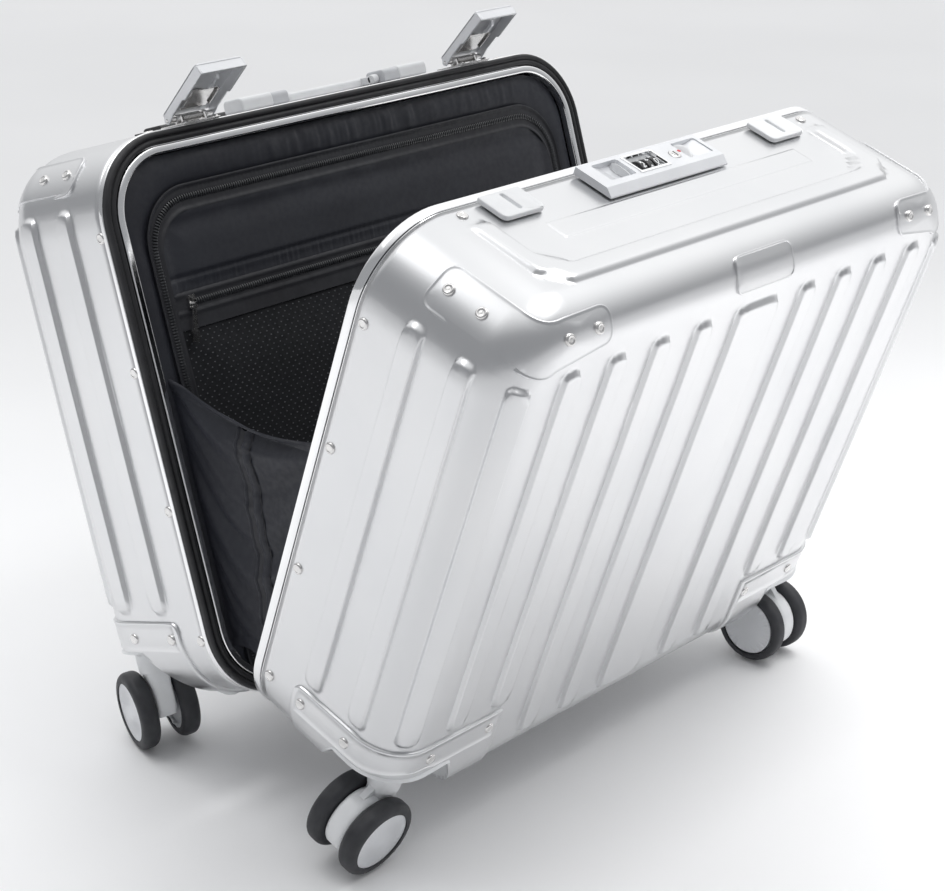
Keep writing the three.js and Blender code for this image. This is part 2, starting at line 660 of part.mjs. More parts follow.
function trolleyGrip() {
  const z0 = GRIP_WELL.floor + GAP;
  const { y0, y1, cut, shoulder, height } = GRIP;
  const grip = prism([
    [y0, z0], [y1, z0], [y1, z0 + shoulder],
    [y1 - cut, z0 + height], [y0 + cut, z0 + height], [y0, z0 + shoulder],
  ], 'x', -GRIP.halfX, GRIP.halfX);
  const tubes = [-1, 1].map((side) => tubeBox(side, TUBES.inner, TUBE_FOOT + TUBE_GAPS.innerFoot, z0 + 1));
  const seat = GRIP_SEAT;
  const seatCut = block(-seat.halfX, seat.halfX, seat.y0, seat.y1, z0 + seat.floor, z0 + BEYOND);
  return join([grip, ...tubes]).subtract(seatCut);
}

function trolleyButton() {
  const z0 = GRIP_WELL.floor + GAP;
  return block(-RELEASE.halfX, RELEASE.halfX, RELEASE.y0, RELEASE.y1, z0 + RELEASE.z0, z0 + RELEASE.z1);
}

// ---- soft parts inside ----
const DIVIDER = { inset: BACK_RIM_WIDTH + 0.6, y0: 4, y1: 7 };
const GUSSET_X = 205;
const GUSSET_TOP = 213;
const GUSSET_THICK = 1.6;
const GUSSET_FOOT = 70;
const GUSSET_CLEAR_ANGLE = 0.02;
const LINING = { clear: 0.5, thick: 1.4, start: 1, aroundCup: 1.2, aroundWell: 1 };

function divider() {
  return plate(DIVIDER.inset, DIVIDER.y0, DIVIDER.y1);
}

function lining({ depth }) {
  const clear = WALL + LINING.clear;
  const outside = pan(depth, -clear, RIM_DEPTH + LINING.start);
  let body = outside.subtract(pan(depth, -clear - LINING.thick, RIM_DEPTH - 2));
  for (const side of [-1, 1]) {
    body = body.subtract(casterPocket(side, CUP_WALL + LINING.aroundCup));
  }
  return body.subtract(topOpening(LOCK_WELL, LINING.aroundWell));
}

// a fabric triangle between the two rims, drawn about the hinge axis in the upright YZ plane
function gusset() {
  const reach = GUSSET_TOP + HINGE_DROP;
  const foot = GUSSET_FOOT;
  const swing = SPREAD - GUSSET_CLEAR_ANGLE;
  const corner = (radius, turn) => [radius * Math.sin(turn), radius * Math.cos(turn)];
  const points = [corner(foot, swing), corner(reach, swing), corner(reach, -swing), corner(foot, -swing)];
  return prism(points, 'x', GUSSET_X - GUSSET_THICK / 2, GUSSET_X + GUSSET_THICK / 2);
}

// ---- finishes ----
const finish = (color, roughness, metalness) => ({ color, roughness, metalness });
const SATIN = finish(0xcfd2d6, 0.42, 0.95);
const POLISHED = finish(0xe4e7ea, 0.16, 1);
const STEEL = finish(0xb9bcc0, 0.3, 0.95);
const WHITE = finish(0xe9eaec, 0.45, 0);
const GREY = finish(0xbfc2c6, 0.5, 0);
const BLACK = finish(0x17181b, 0.6, 0);
const TYRE = finish(0x26272b, 0.75, 0);
const CLOTH = finish(0x14161d, 0.85, 0);

// ---- assembly ----
const suitcase = new THREE.Group();

function lowestWheelPoint() {
  let lowest = 0;
  for (const angle of Object.values(CASTER_ANGLES)) {
    const turn = THREE.MathUtils.degToRad(angle);
    for (const side of [-1, 1]) {
      const y = CASTER_Y - TRAIL * Math.sin(turn) + side * WHEEL_OFFSET * Math.cos(turn);
      const slope = Math.cos(turn) * Math.sin(SPREAD);
      const centre = -y * Math.sin(SPREAD) + (AXLE_Z + HINGE_DROP) * Math.cos(SPREAD);
      const tread = WHEEL_WIDTH / 2 - WHEEL_CHAMFER;
      const rim = WHEEL_RADIUS * Math.sqrt(1 - slope * slope) + tread * Math.abs(slope);
      lowest = Math.max(lowest, rim - centre);
    }
  }
  return lowest;
}

const HINGE_HEIGHT = lowestWheelPoint();

function halfFrame({ turn }) {
  const stand = new THREE.Group();
  stand.position.z = HINGE_HEIGHT;
  stand.rotation.z = turn;
  const lean = new THREE.Group();
  lean.rotation.x = -SPREAD;
  const frame = new THREE.Group();
  frame.position.z = HINGE_DROP;
  stand.add(lean);
  lean.add(frame);
  suitcase.add(stand);
  return frame;
}

const frames = { back: halfFrame(HALVES.back), front: halfFrame(HALVES.front) };

function add(parent, name, body, look) {
  const mesh = new THREE.Mesh(geometryOf(body), new THREE.MeshStandardMaterial(look));
  mesh.name = name;
  parent.add(mesh);
  return mesh;
}

for (const one of Object.values(HALVES)) {
  const frame = frames[one.name];
  add(frame, `${one.name}_shell`, shell(one), SATIN);
  for (const side of [-1, 1]) {
    const hand = side === one.leftSign ? 'left' : 'right';
    const key = `${one.name}_${hand}`;
    add(frame, `corner_guard_${key}`, cornerGuard(one, side), SATIN);
    add(frame, `wheel_housing_${key}`, wheelHousing(one, side), SATIN);
    const caster = new THREE.Group();
    caster.position.set(side * CASTER_X, CASTER_Y, 0);
    caster.rotation.z = THREE.MathUtils.degToRad(CASTER_ANGLES[key]);
    frame.add(caster);
    add(caster, `caster_fork_${key}`, casterFork(), WHITE);
    add(caster, `caster_axle_${key}`, casterAxle(), STEEL);
    for (const [end, sign] of [['a', 1], ['b', -1]]) {
      const wheel = add(caster, `wheel_${key}_${end}`, casterWheel(), TYRE);
      wheel.position.set(-TRAIL, sign * WHEEL_OFFSET, AXLE_Z);
    }
    const spans = one.name === 'back'
      ? [[-HINGE_HALF, -KNUCKLE_SPLIT - KNUCKLE_GAP], [KNUCKLE_SPLIT + KNUCKLE_GAP, HINGE_HALF]]
      : [[-KNUCKLE_SPLIT, KNUCKLE_SPLIT]];
    const hasPin = one.name === 'front';
    add(frame, `hinge_leaf_${key}`, hingeLeaf(side * HINGE_X, spans, hasPin), STEEL);
  }
}

// back half
add(frames.back, 'back_rim', backRim(), POLISHED);
add(frames.back, 'rim_seal', seal(), BLACK);
add(frames.back, 'divider_panel', divider(), CLOTH);
for (const side of [-1, 1]) {
  const hand = side < 0 ? 'left' : 'right';
  add(frames.back, `latch_bracket_${hand}`, latchBracket(side * LATCH_X), STEEL);
  const pivot = new THREE.Group();
  pivot.position.set(side * LATCH_X, LEVER_PIVOT.y, LEVER_PIVOT.z);
  pivot.rotation.x = -LEVER_OPEN;
  frames.back.add(pivot);
  const lever = add(pivot, `latch_lever_${hand}`, latchLever(), POLISHED);
  lever.position.set(0, -LEVER_PIVOT.y, -LEVER_PIVOT.z);
  add(frames.back, `handle_bracket_${hand}`, handleBracket(side), GREY);
  add(frames.back, `trolley_middle_tube_${hand}`, trolleyMiddleTube(side), POLISHED);
}
add(frames.back, 'carry_handle', carryHandle(), WHITE);
add(frames.back, 'trolley_bezel', trolleyBezel(), BLACK);
add(frames.back, 'trolley_guide_tubes', trolleyGuide(), STEEL);
add(frames.back, 'trolley_grip', trolleyGrip(), BLACK);
add(frames.back, 'trolley_button', trolleyButton(), GREY);

// front half
add(frames.front, 'front_rim', frontRim(), POLISHED);
add(frames.front, 'front_lining', lining(HALVES.front), CLOTH);
add(frames.front, 'badge_plate', badgePlate(HALVES.front), SATIN);
add(frames.front, 'lock_housing', lockHousing(), SATIN);
add(frames.front, 'key_cylinder', keyCylinder(), STEEL);
for (const side of [-1, 1]) {
  const hand = side === HALVES.front.leftSign ? 'left' : 'right';
  add(frames.front, `latch_catch_${hand}`, latchCatch(side * LATCH_X), WHITE);
  add(frames.front, `lock_button_${hand}`, lockButton(side), STEEL);
}
for (let i = 0; i < 3; i += 1) {
  const dial = add(frames.front, `lock_dial_${i + 1}`, lockDial(), BLACK);
  dial.position.set(DIAL_MIDDLE + (1 - i) * DIAL_PITCH, DIAL_Y, DIAL_Z);
}

// the gussets are drawn about the hinge axis
for (const side of [-1, 1]) {
  const hand = side < 0 ? 'left' : 'right';
  const cloth = add(suitcase, `gusset_${hand}`, gusset(), CLOTH);
  cloth.position.set(side < 0 ? -2 * GUSSET_X : 0, 0, HINGE_HEIGHT);
}

// put the origin under the middle of the standing case
const box = new THREE.Box3().setFromObject(suitcase, true);
const middle = box.getCenter(new THREE.Vector3());
for (const child of suitcase.children) {
  child.position.x -= middle.x;
  child.position.y -= middle.y;
  child.position.z -= box.min.z;
}

export default suitcase;
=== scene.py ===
"""Hard shell suitcase on wheels, standing open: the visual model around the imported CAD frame.

Every hard piece is drawn in the case's own "half frame", in millimetres: the opening plane is y = 0,
the shell's depth runs along +Y, z = 0 is the shell's bottom and x = 0 its middle. HALF["back"] and
HALF["front"] carry that frame to the standing case, in metres. The front half's frame is the back
half's turned half a turn.
"""
import json
import math

import bmesh
import bpy
import numpy as np
from mathutils import Matrix, Vector, noise
from mathutils.geometry import delaunay_2d_cdt


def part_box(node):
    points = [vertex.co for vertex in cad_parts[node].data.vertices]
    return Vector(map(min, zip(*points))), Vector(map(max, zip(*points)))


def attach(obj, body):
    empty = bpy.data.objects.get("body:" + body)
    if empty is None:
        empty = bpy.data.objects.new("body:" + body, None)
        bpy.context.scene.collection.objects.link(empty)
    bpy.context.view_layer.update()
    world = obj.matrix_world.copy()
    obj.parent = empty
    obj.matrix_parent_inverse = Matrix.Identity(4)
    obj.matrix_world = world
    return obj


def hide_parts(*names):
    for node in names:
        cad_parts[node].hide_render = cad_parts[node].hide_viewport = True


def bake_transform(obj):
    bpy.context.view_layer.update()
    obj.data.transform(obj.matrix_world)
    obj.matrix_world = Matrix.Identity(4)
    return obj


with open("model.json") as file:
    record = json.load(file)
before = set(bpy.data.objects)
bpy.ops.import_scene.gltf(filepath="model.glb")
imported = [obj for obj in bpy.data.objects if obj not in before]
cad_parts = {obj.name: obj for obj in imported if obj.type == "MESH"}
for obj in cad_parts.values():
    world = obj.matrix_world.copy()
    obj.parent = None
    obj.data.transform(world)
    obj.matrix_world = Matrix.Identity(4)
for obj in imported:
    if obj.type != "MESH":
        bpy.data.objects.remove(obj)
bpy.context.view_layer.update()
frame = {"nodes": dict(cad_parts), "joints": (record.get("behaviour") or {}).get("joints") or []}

scene = bpy.context.scene
joints = {joint["name"]: joint for joint in frame["joints"]}

# ---- the case's driving sizes, in millimetres ----
MM = 0.001
WIDTH = 450.0
HEIGHT = 365.0
CORNER_RADIUS = 52.0
EDGE_RADIUS = 29.0
HINGE_DROP = 12.6
RIM_DEPTH = 8.0
RIM_PROUD = 0.6
DEPTH = {"back": 116.0, "front": 121.0}
RIB_HEIGHT = 3.2
RIB_WIDTH = 12.4
FACE_RIBS = [53.4 + 40.0 * i for i in range(4)]
CENTRE_RIB_WIDTH = 39.0
RIB_TOP = 326.0
LONG_RIB_FOOT = 30.0
SHORT_RIB_FOOT = 69.0
SIDE_RIBS_FROM_FACE = (33.0, 71.0)
CORNER_RIB_ANGLE = math.radians(32)
PLATE = 1.6
CASTER = Vector((200.0, 102.5, 0.0))
DECK = HEIGHT + RIM_PROUD + 0.3

hinge = Vector(joints["case_hinge"]["pos_m"])
spread = math.asin(joints["swivel_back_left"]["axis"][1])
shell_low, shell_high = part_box("back_shell")
middle_x = (shell_low.x + shell_high.x) / 2


def half_matrix(turn):
    """The half frame, in millimetres, carried to the standing case, in metres."""
    place = Matrix.Translation((middle_x, hinge.y, hinge.z)) @ Matrix.Rotation(turn, 4, "Z")
    lean = Matrix.Rotation(-spread, 4, "X") @ Matrix.Translation((0, 0, HINGE_DROP * MM))
    return place @ lean @ Matrix.Scale(MM, 4)


HALF = {"back": half_matrix(0), "front": half_matrix(math.pi)}


def world_side(half, side):
    """The hand, as the standing case is seen from the front, of the half frame's x = +1 or -1 side."""
    left = -1 if half == "back" else 1
    return "left" if side == left else "right"


# ---- materials ----
def new_material(name, color, metallic, roughness):
    material = bpy.data.materials.new(name)
    material.use_nodes = True
    shader = material.node_tree.nodes["Principled BSDF"]
    shader.inputs["Base Color"].default_value = (*color, 1)
    shader.inputs["Metallic"].default_value = metallic
    shader.inputs["Roughness"].default_value = roughness
    return material


def node(material, kind):
    return material.node_tree.nodes.new(kind)


def link(material, source, out, target, into):
    material.node_tree.links.new(source.outputs[out], target.inputs[into])


def object_space(material, stretch=(1, 1, 1)):
    place = node(material, "ShaderNodeTexCoord")
    mapping = node(material, "ShaderNodeMapping")
    mapping.inputs["Scale"].default_value = stretch
    link(material, place, "Object", mapping, "Vector")
    return mapping


def noise_texture(material, scale, detail=3.0, stretch=(1, 1, 1)):
    texture = node(material, "ShaderNodeTexNoise")
    texture.inputs["Scale"].default_value = scale
    texture.inputs["Detail"].default_value = detail
    link(material, object_space(material, stretch), "Vector", texture, "Vector")
    return texture


def vary(material, texture, socket, low, high, span=(0.35, 0.65)):
    """A socket that runs between two values with a texture."""
    ramp = node(material, "ShaderNodeValToRGB")
    ramp.color_ramp.elements[0].position = span[0]
    ramp.color_ramp.elements[1].position = span[1]
    for element, value in zip(ramp.color_ramp.elements, (low, high)):
        element.color = (*value, 1) if hasattr(value, "__len__") else (value, value, value, 1)
    link(material, texture, "Fac", ramp, "Fac")
    shader = material.node_tree.nodes["Principled BSDF"]
    link(material, ramp, "Color", shader, socket)
    return ramp


def bump(material, texture, strength, distance):
    """Adds a bump layer on top of any that the material already has."""
    shader = material.node_tree.nodes["Principled BSDF"]
    layer = node(material, "ShaderNodeBump")
    layer.inputs["Strength"].default_value = strength
    layer.inputs["Distance"].default_value = distance
    link(material, texture, "Fac", layer, "Height")
    before = shader.inputs["Normal"].links
    if before:
        material.node_tree.links.new(before[0].from_socket, layer.inputs["Normal"])
    link(material, layer, "Normal", shader, "Normal")


def brushed_or_blasted_metal(name, color, other, rough, grain, grain_depth, stretch=(1, 1, 1)):
    material = new_material(name, color, 1.0, rough[0])
    vary(material, noise_texture(material, 12, 3), "Base Color", color, other)
    vary(material, noise_texture(material, 420, 2), "Roughness", rough[0], rough[1])
    bump(material, noise_texture(material, grain, 2, stretch), 0.5, grain_depth)
    return material


def painted_metal(name, color, other, rough):
    material = new_material(name, color, 0.45, rough)
    vary(material, noise_texture(material, 40, 3), "Base Color", color, other)
    vary(material, noise_texture(material, 500, 2), "Roughness", rough - 0.03, rough + 0.04)
    bump(material, noise_texture(material, 1800, 2), 0.4, 0.000008)
    return material


def moulded_plastic(name, color, other, rough, grain=1800, grain_depth=0.00004):
    material = new_material(name, color, 0.0, rough)
    vary(material, noise_texture(material, 90, 4), "Base Color", color, other)
    vary(material, noise_texture(material, 140, 3), "Roughness", rough - 0.05, rough + 0.07)
    bump(material, noise_texture(material, grain, 2), 0.4, grain_depth)
    return material


MATERIALS = {
    "satin_aluminium": brushed_or_blasted_metal(
        "satin_aluminium", (0.705, 0.71, 0.72), (0.735, 0.738, 0.745), (0.275, 0.283), 2600, 0.0000008),
    "polished_aluminium": brushed_or_blasted_metal(
        "polished_aluminium", (0.88, 0.885, 0.89), (0.93, 0.93, 0.935), (0.08, 0.12), 900, 0.000002),
    "satin_diecast": painted_metal("satin_diecast", (0.76, 0.77, 0.79), (0.80, 0.81, 0.83), 0.36),
    "steel": brushed_or_blasted_metal(
        "steel", (0.72, 0.71, 0.70), (0.80, 0.79, 0.78), (0.17, 0.23), 1600, 0.000005),
    "white_plastic": moulded_plastic("white_plastic", (0.80, 0.81, 0.82), (0.84, 0.85, 0.86), 0.34),
    "grey_plastic": moulded_plastic("grey_plastic", (0.58, 0.59, 0.61), (0.63, 0.64, 0.66), 0.42),
    "black_plastic": moulded_plastic("black_plastic", (0.018, 0.018, 0.02), (0.028, 0.028, 0.03), 0.42),
    "tyre": moulded_plastic("tyre", (0.022, 0.023, 0.027), (0.034, 0.035, 0.04), 0.55, 2600, 0.00005),
    "black_seal": moulded_plastic(
        "black_seal", (0.012, 0.012, 0.014), (0.018, 0.018, 0.021), 0.52, 2000, 0.00003),
}


# ---- mesh making ----
def add_piece(name, verts, faces, matrix, material, body, slot=None, replaces=(), sharp=38):
    """A finished piece of the case, from points in a local frame and that frame's matrix."""
    mesh = bpy.data.meshes.new(name)
    mesh.from_pydata([tuple(matrix @ Vector(v)) for v in verts], [], faces)
    tidy = bmesh.new()
    tidy.from_mesh(mesh)
    bmesh.ops.remove_doubles(tidy, verts=tidy.verts, dist=0.000004)
    bmesh.ops.dissolve_degenerate(tidy, edges=tidy.edges, dist=0.000002)
    bmesh.ops.recalc_face_normals(tidy, faces=tidy.faces)
    tidy.to_mesh(mesh)
    tidy.free()
    mesh.polygons.foreach_set("use_smooth", [True] * len(mesh.polygons))
    mesh.set_sharp_from_angle(angle=math.radians(sharp))
    piece = bpy.data.objects.new(name, mesh)
    scene.collection.objects.link(piece)
    mesh.materials.append(MATERIALS[material])
    if body:
        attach(piece, body)
    if replaces:
        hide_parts(*replaces)
    return piece


def bevelled(piece, width, segments=3, angle=32):
    modifier = piece.modifiers.new("soft_edges", "BEVEL")
    modifier.width = width * MM
    modifier.segments = segments
    modifier.limit_method = "ANGLE"
    modifier.angle_limit = math.radians(angle)
    modifier.harden_normals = False
    return piece


def gather(*parts):
    """Several (verts, faces) pairs as one."""
    verts, faces = [], []
    for part_verts, part_faces in parts:
        start = len(verts)
        verts += list(part_verts)
        faces += [tuple(start + i for i in face) for face in part_faces]
    return verts, faces


def moved(part, matrix):
    verts, faces = part
    return [matrix @ Vector(v) for v in verts], faces


def prism(points, axis, c0, c1):
    """A closed prism: outline points (a, b) pushed along the third axis from c0 to c1."""
    orders = {"x": lambda a, b, c: (c, a, b), "y": lambda a, b, c: (a, c, b), "z": lambda a, b, c: (a, b, c)}
    order = orders[axis]
    count = len(points)
    verts = [order(a, b, c0) for a, b in points] + [order(a, b, c1) for a, b in points]
    faces = [tuple(range(count)), tuple(range(2 * count - 1, count - 1, -1))]
    faces += [(i, (i + 1) % count, count + (i + 1) % count, count + i) for i in range(count)]
    return verts, faces


def box_outline(x0, x1, y0, y1):
    return [(x0, y0), (x1, y0), (x1, y1), (x0, y1)]


def block(x0, x1, y0, y1, z0, z1):
    return prism(box_outline(x0, x1, y0, y1), "z", z0, z1)


def grid_faces(rows, columns):
    """The faces of a grid whose points run along each row in turn."""
    width = columns + 1
    faces = []
    for r in range(rows):
        for c in range(columns):
            a = r * width + c
            faces.append((a, a + 1, a + width + 1, a + width))
    return faces


def tube_faces(spans, count):
    """A closed tube's faces: bands between rings of that many points, and a cap at each end."""
    faces = []
    for i in range(spans):
        for k in range(count):
            after = (k + 1) % count
            faces.append((i * count + k, i * count + after, (i + 1) * count + after, (i + 1) * count + k))
    faces.append(tuple(range(count)))
    faces.append(tuple(spans * count + k for k in reversed(range(count))))
    return faces


def lathe(profile, steps=32, closed=False):
    """Turns (radius, height) points about the local Z axis."""
    verts, faces = [], []
    for i in range(steps):
        angle = 2 * math.pi * i / steps
        verts += [(r * math.cos(angle), r * math.sin(angle), h) for r, h in profile]
    count = len(profile)
    spans = count if closed else count - 1
    for i in range(steps):
        for j in range(spans):
            a = i * count + j
            b = i * count + (j + 1) % count
            c = ((i + 1) % steps) * count + (j + 1) % count
            d = ((i + 1) % steps) * count + j
            faces.append((a, b, c, d))
    if not closed:
        for end in (0, count - 1):
            faces.append(tuple(i * count + end for i in range(steps)))
    return verts, faces


def rounded(points, radii, steps=6):
    """An outline whose corners are rounded by their own radius."""
    outline_points = []
    count = len(points)
    for i, corner in enumerate(points):
        before = Vector(points[i - 1]) - Vector(corner)
        after = Vector(points[(i + 1) % count]) - Vector(corner)
        radius = radii if not hasattr(radii, "__len__") else radii[i]
        opening = before.angle(after)
        reach = min(radius / math.tan(opening / 2), before.length * 0.49, after.length * 0.49)
        if radius <= 0:
            outline_points.append(tuple(corner))
            continue
        start = Vector(corner) + before.normalized() * reach
        end = Vector(corner) + after.normalized() * reach
        for k in range(steps + 1):
            t = k / steps
            point = start * (1 - t) ** 2 + Vector(corner) * 2 * t * (1 - t) + end * t ** 2
            outline_points.append(tuple(point))
    return outline_points


def rounded_box(x0, x1, y0, y1, radii, steps=6):
    return rounded(box_outline(x0, x1, y0, y1), radii, steps)


def smoothstep(x):
    x = np.clip(x, 0, 1)
    return x * x * (3 - 2 * x)


# ---- the shells' surface ----
CORNER_X = WIDTH / 2 - CORNER_RADIUS
CORNER_Z = HEIGHT / 2 - CORNER_RADIUS
FLAT_REACH = CORNER_RADIUS - EDGE_RADIUS
FILLET = EDGE_RADIUS * math.pi / 2


def profile_at(reach, depth):
    """Along the section from the corner's centre: inset, y, and the normal's outward and depth parts."""
    if reach <= FLAT_REACH:
        return CORNER_RADIUS - reach, depth, 0.0, 1.0
    if reach <= FLAT_REACH + FILLET:
        angle = (reach - FLAT_REACH) / EDGE_RADIUS
        inset = EDGE_RADIUS * (1 - math.sin(angle))
        return inset, depth - EDGE_RADIUS * (1 - math.cos(angle)), math.sin(angle), math.cos(angle)
    return 0.0, depth - EDGE_RADIUS - (reach - FLAT_REACH - FILLET), 1.0, 0.0


def reach_from_face(from_face):
    """How far along the section a line on the wall lies, that far from the outer face."""
    return FLAT_REACH + FILLET + from_face - EDGE_RADIUS


def skin_point(depth, side, top, around, along, height=0.0):
    """A point on the shell near one corner. around runs along the outline from the corner's middle,
    negative towards the top or bottom wall; along runs over the edge from the flat face."""
    inset, y, out, up = profile_at(FLAT_REACH + along, depth)
    half_arc = CORNER_RADIUS * math.pi / 4
    radius = CORNER_RADIUS - inset + height * out
    if around < -half_arc:
        x, z = CORNER_X + around + half_arc, CORNER_Z + radius
    elif around > half_arc:
        x, z = CORNER_X + radius, CORNER_Z - (around - half_arc)
    else:
        angle = math.pi / 4 - around / CORNER_RADIUS
        x, z = CORNER_X + radius * math.cos(angle), CORNER_Z + radius * math.sin(angle)
    return Vector((side * x, y + height * up, HEIGHT / 2 + top * z))


def grid_lines(stops, fine, step):
    """Grid lines that hit every stop, are close together where fine says, and at most a step apart."""
    lines = sorted(set(stops) | set(fine))
    filled = [lines[0]]
    for line in lines[1:]:
        gap = line - filled[-1]
        if gap < 0.12:
            continue
        count = max(1, math.ceil(gap / step))
        filled += [filled[-1] + gap * k / count for k in range(1, count + 1)]
    return filled


RIB_SECTION = (-1.0, -0.45, -0.1, 0.3, 0.65, 1.0, 1.4, 2.2)


def rib_lines(centre, width):
    return [centre + sign * (width / 2 + offset) for sign in (-1, 1) for offset in RIB_SECTION]


def shell_surface(half):
    """The pressed sheet's grid lines across and upward, where the sheet ends, and where its side and corner
    ribs lie.
    """
    depth = DEPTH[half]
    end = reach_from_face(depth - RIM_DEPTH - 0.4)
    side_ribs = [reach_from_face(f) for f in SIDE_RIBS_FROM_FACE]
    corner_rib = FLAT_REACH + EDGE_RADIUS * CORNER_RIB_ANGLE
    fillet_stops = [FLAT_REACH + FILLET * k / 12 for k in range(13)]
    fine_x = rib_lines(0, CENTRE_RIB_WIDTH)
    for centre in FACE_RIBS:
        fine_x += rib_lines(centre, RIB_WIDTH)
    for reach in [corner_rib, *side_ribs]:
        fine_x += [CORNER_X + line for line in rib_lines(reach, RIB_WIDTH)]
    fine_x = [x for x in fine_x if 0 <= x <= CORNER_X + end]
    fine_z = []
    for foot in (LONG_RIB_FOOT, SHORT_RIB_FOOT):
        fine_z += [HEIGHT / 2 - foot + k for k in (-1, 0, 1, 2, 3, 4, 5)]
    fine_top = [RIB_TOP - HEIGHT / 2 + k for k in (-1, 0, 1, 2, 3, 4, 5)]
    top_ribs = TOP_RIBS[half]
    for reach in top_ribs["reaches"]:
        fine_top += [CORNER_Z + reach + k for k in (-0.4, 0.2, 0.8, 1.4, 2.0, 2.8)]
        fine_top += [CORNER_Z + reach - k for k in (0.4, 1.0, 1.6, 2.4)]
    for x in top_ribs["xs"]:
        fine_x += [x + k for k in (-2.4, -1.6, -0.8, 0, 0.8, 1.6, 2.4)]
    x_stops = [0, CORNER_X, CORNER_X + end] + [CORNER_X + s for s in fillet_stops]
    z_stops = [0, CORNER_Z, CORNER_Z + end] + [CORNER_Z + s for s in fillet_stops]
    right = grid_lines(x_stops, fine_x, 5.0)
    top = grid_lines(z_stops, fine_top, 5.0)
    bottom = grid_lines(z_stops, fine_z, 6.0)
    across = [-x for x in reversed(right[1:])] + right
    upward = [-z for z in reversed(bottom[1:])] + top
    return across, upward, end, side_ribs, corner_rib


def rib_height(gap_across, gap_along, ramp=1.5, end_ramp=5.0, corner=4.5):
    """A rib's height from how far a point lies outside its crest, across and past its rounded end."""
    in_across = np.maximum(gap_across + corner, 0)
    in_along = np.maximum(gap_along + corner, 0)
    past = np.hypot(in_across, in_along) - corner
    share = np.arctan2(in_along, np.maximum(in_across, 1e-6)) / (math.pi / 2)
    return RIB_HEIGHT * (1 - smoothstep(np.maximum(past, 0) / (ramp + (end_ramp - ramp) * share)))


TOP_FRAME = {"outer_x": 172.0, "inner_x": 158.0, "mouth": 28.0, "outer": 28.0, "inner": 42.0, "cut": 16.0}
TOP_BAR = {"half": 122.0, "near": 64.0, "far": 79.0}
TOP_RIBS = {
    "back": {"reaches": [], "xs": []},
    "front": {"reaches": [reach_from_face(f) for f in (28, 42, 64, 79)], "xs": [122.0, 158.0, 172.0]},
}


def top_rib_height(x, from_face, depth):
    """The bar and the U-shaped frame pressed up on the front shell's top."""
    bar = rib_height(np.maximum(np.maximum(TOP_BAR["near"] - from_face, from_face - TOP_BAR["far"]), 0),
                     np.maximum(abs(x) - TOP_BAR["half"], 0), 2.2, 3.0)
    cut = TOP_FRAME["cut"]

    def inside(half_width, face):
        slant = (abs(x) - half_width + cut + face + cut - from_face - cut) / math.sqrt(2)
        return np.maximum(np.maximum(abs(x) - half_width, face - from_face), slant)

    outer = inside(TOP_FRAME["outer_x"], TOP_FRAME["outer"])
    inner = -inside(TOP_FRAME["inner_x"], TOP_FRAME["inner"])
    mouth = from_face - (depth - TOP_FRAME["mouth"])
    gap = np.maximum(np.maximum(outer, inner), mouth)
    return np.maximum(bar, rib_height(gap, 0, 2.2))


def square_to_disc(u, v):
    """Carries the square u, v >= 0 to a quarter disc, so that lines of equal max(u, v) become arcs."""
    if u <= 0 or v <= 0:
        return u, v
    angle = math.pi / 4 * v / u if u >= v else math.pi / 2 - math.pi / 4 * u / v
    return max(u, v) * math.cos(angle), max(u, v) * math.sin(angle)


TRUE_ARC = 24.0


def corner_angle(u, v):
    """The angle about a corner for a grid point u across and v up from the corner's centre.
    On the walls, the first stretch of the arc keeps its true length, so that grid lines stay level."""
    far, near = max(u, v), min(u, v)
    plain = math.pi / 4 * near / far
    if near <= TRUE_ARC:
        true = near / CORNER_RADIUS
    else:
        start = TRUE_ARC / CORNER_RADIUS
        true = start + (math.pi / 4 - start) * (near - TRUE_ARC) / (far - TRUE_ARC)
    share = float(smoothstep((far - TRUE_ARC - 4) / 20))
    angle = plain + (true - plain) * share
    return angle if u >= v else math.pi / 2 - angle


class SheetSpot:
    """Where the grid point (a, b) of the unfolded shell lies, and which way the sheet faces there."""

    def __init__(self, depth, a, b):
        self.side, self.top = math.copysign(1, a), math.copysign(1, b)
        self.over_x, self.over_z = abs(a) - CORNER_X, abs(b) - CORNER_Z
        self.reach = max(self.over_x, self.over_z)
        inset, self.y, out, up = profile_at(max(self.reach, 0), depth)
        radius = CORNER_RADIUS - inset
        cos, sin, self.lift = 0.0, 1.0, abs(b)
        x, z = abs(a), abs(b)
        if self.over_x > 0 and self.over_z > 0:
            angle = corner_angle(self.over_x, self.over_z)
            cos, sin = math.cos(angle), math.sin(angle)
            self.lift = CORNER_Z + CORNER_RADIUS * angle
            share = float(smoothstep((self.reach - 9) / (FLAT_REACH - 9)))
            x += (CORNER_X + radius * cos - x) * share
            z += (CORNER_Z + radius * sin - z) * share
        elif self.over_x > 0:
            cos, sin = 1.0, 0.0
            x = CORNER_X + radius
        elif self.over_z > 0:
            z = CORNER_Z + radius
        self.x = x
        self.level = HEIGHT / 2 + self.top * self.lift
        self.point = Vector((self.side * x, self.y, HEIGHT / 2 + self.top * z))
        self.normal = Vector((self.side * cos * out, up, self.top * sin * out))


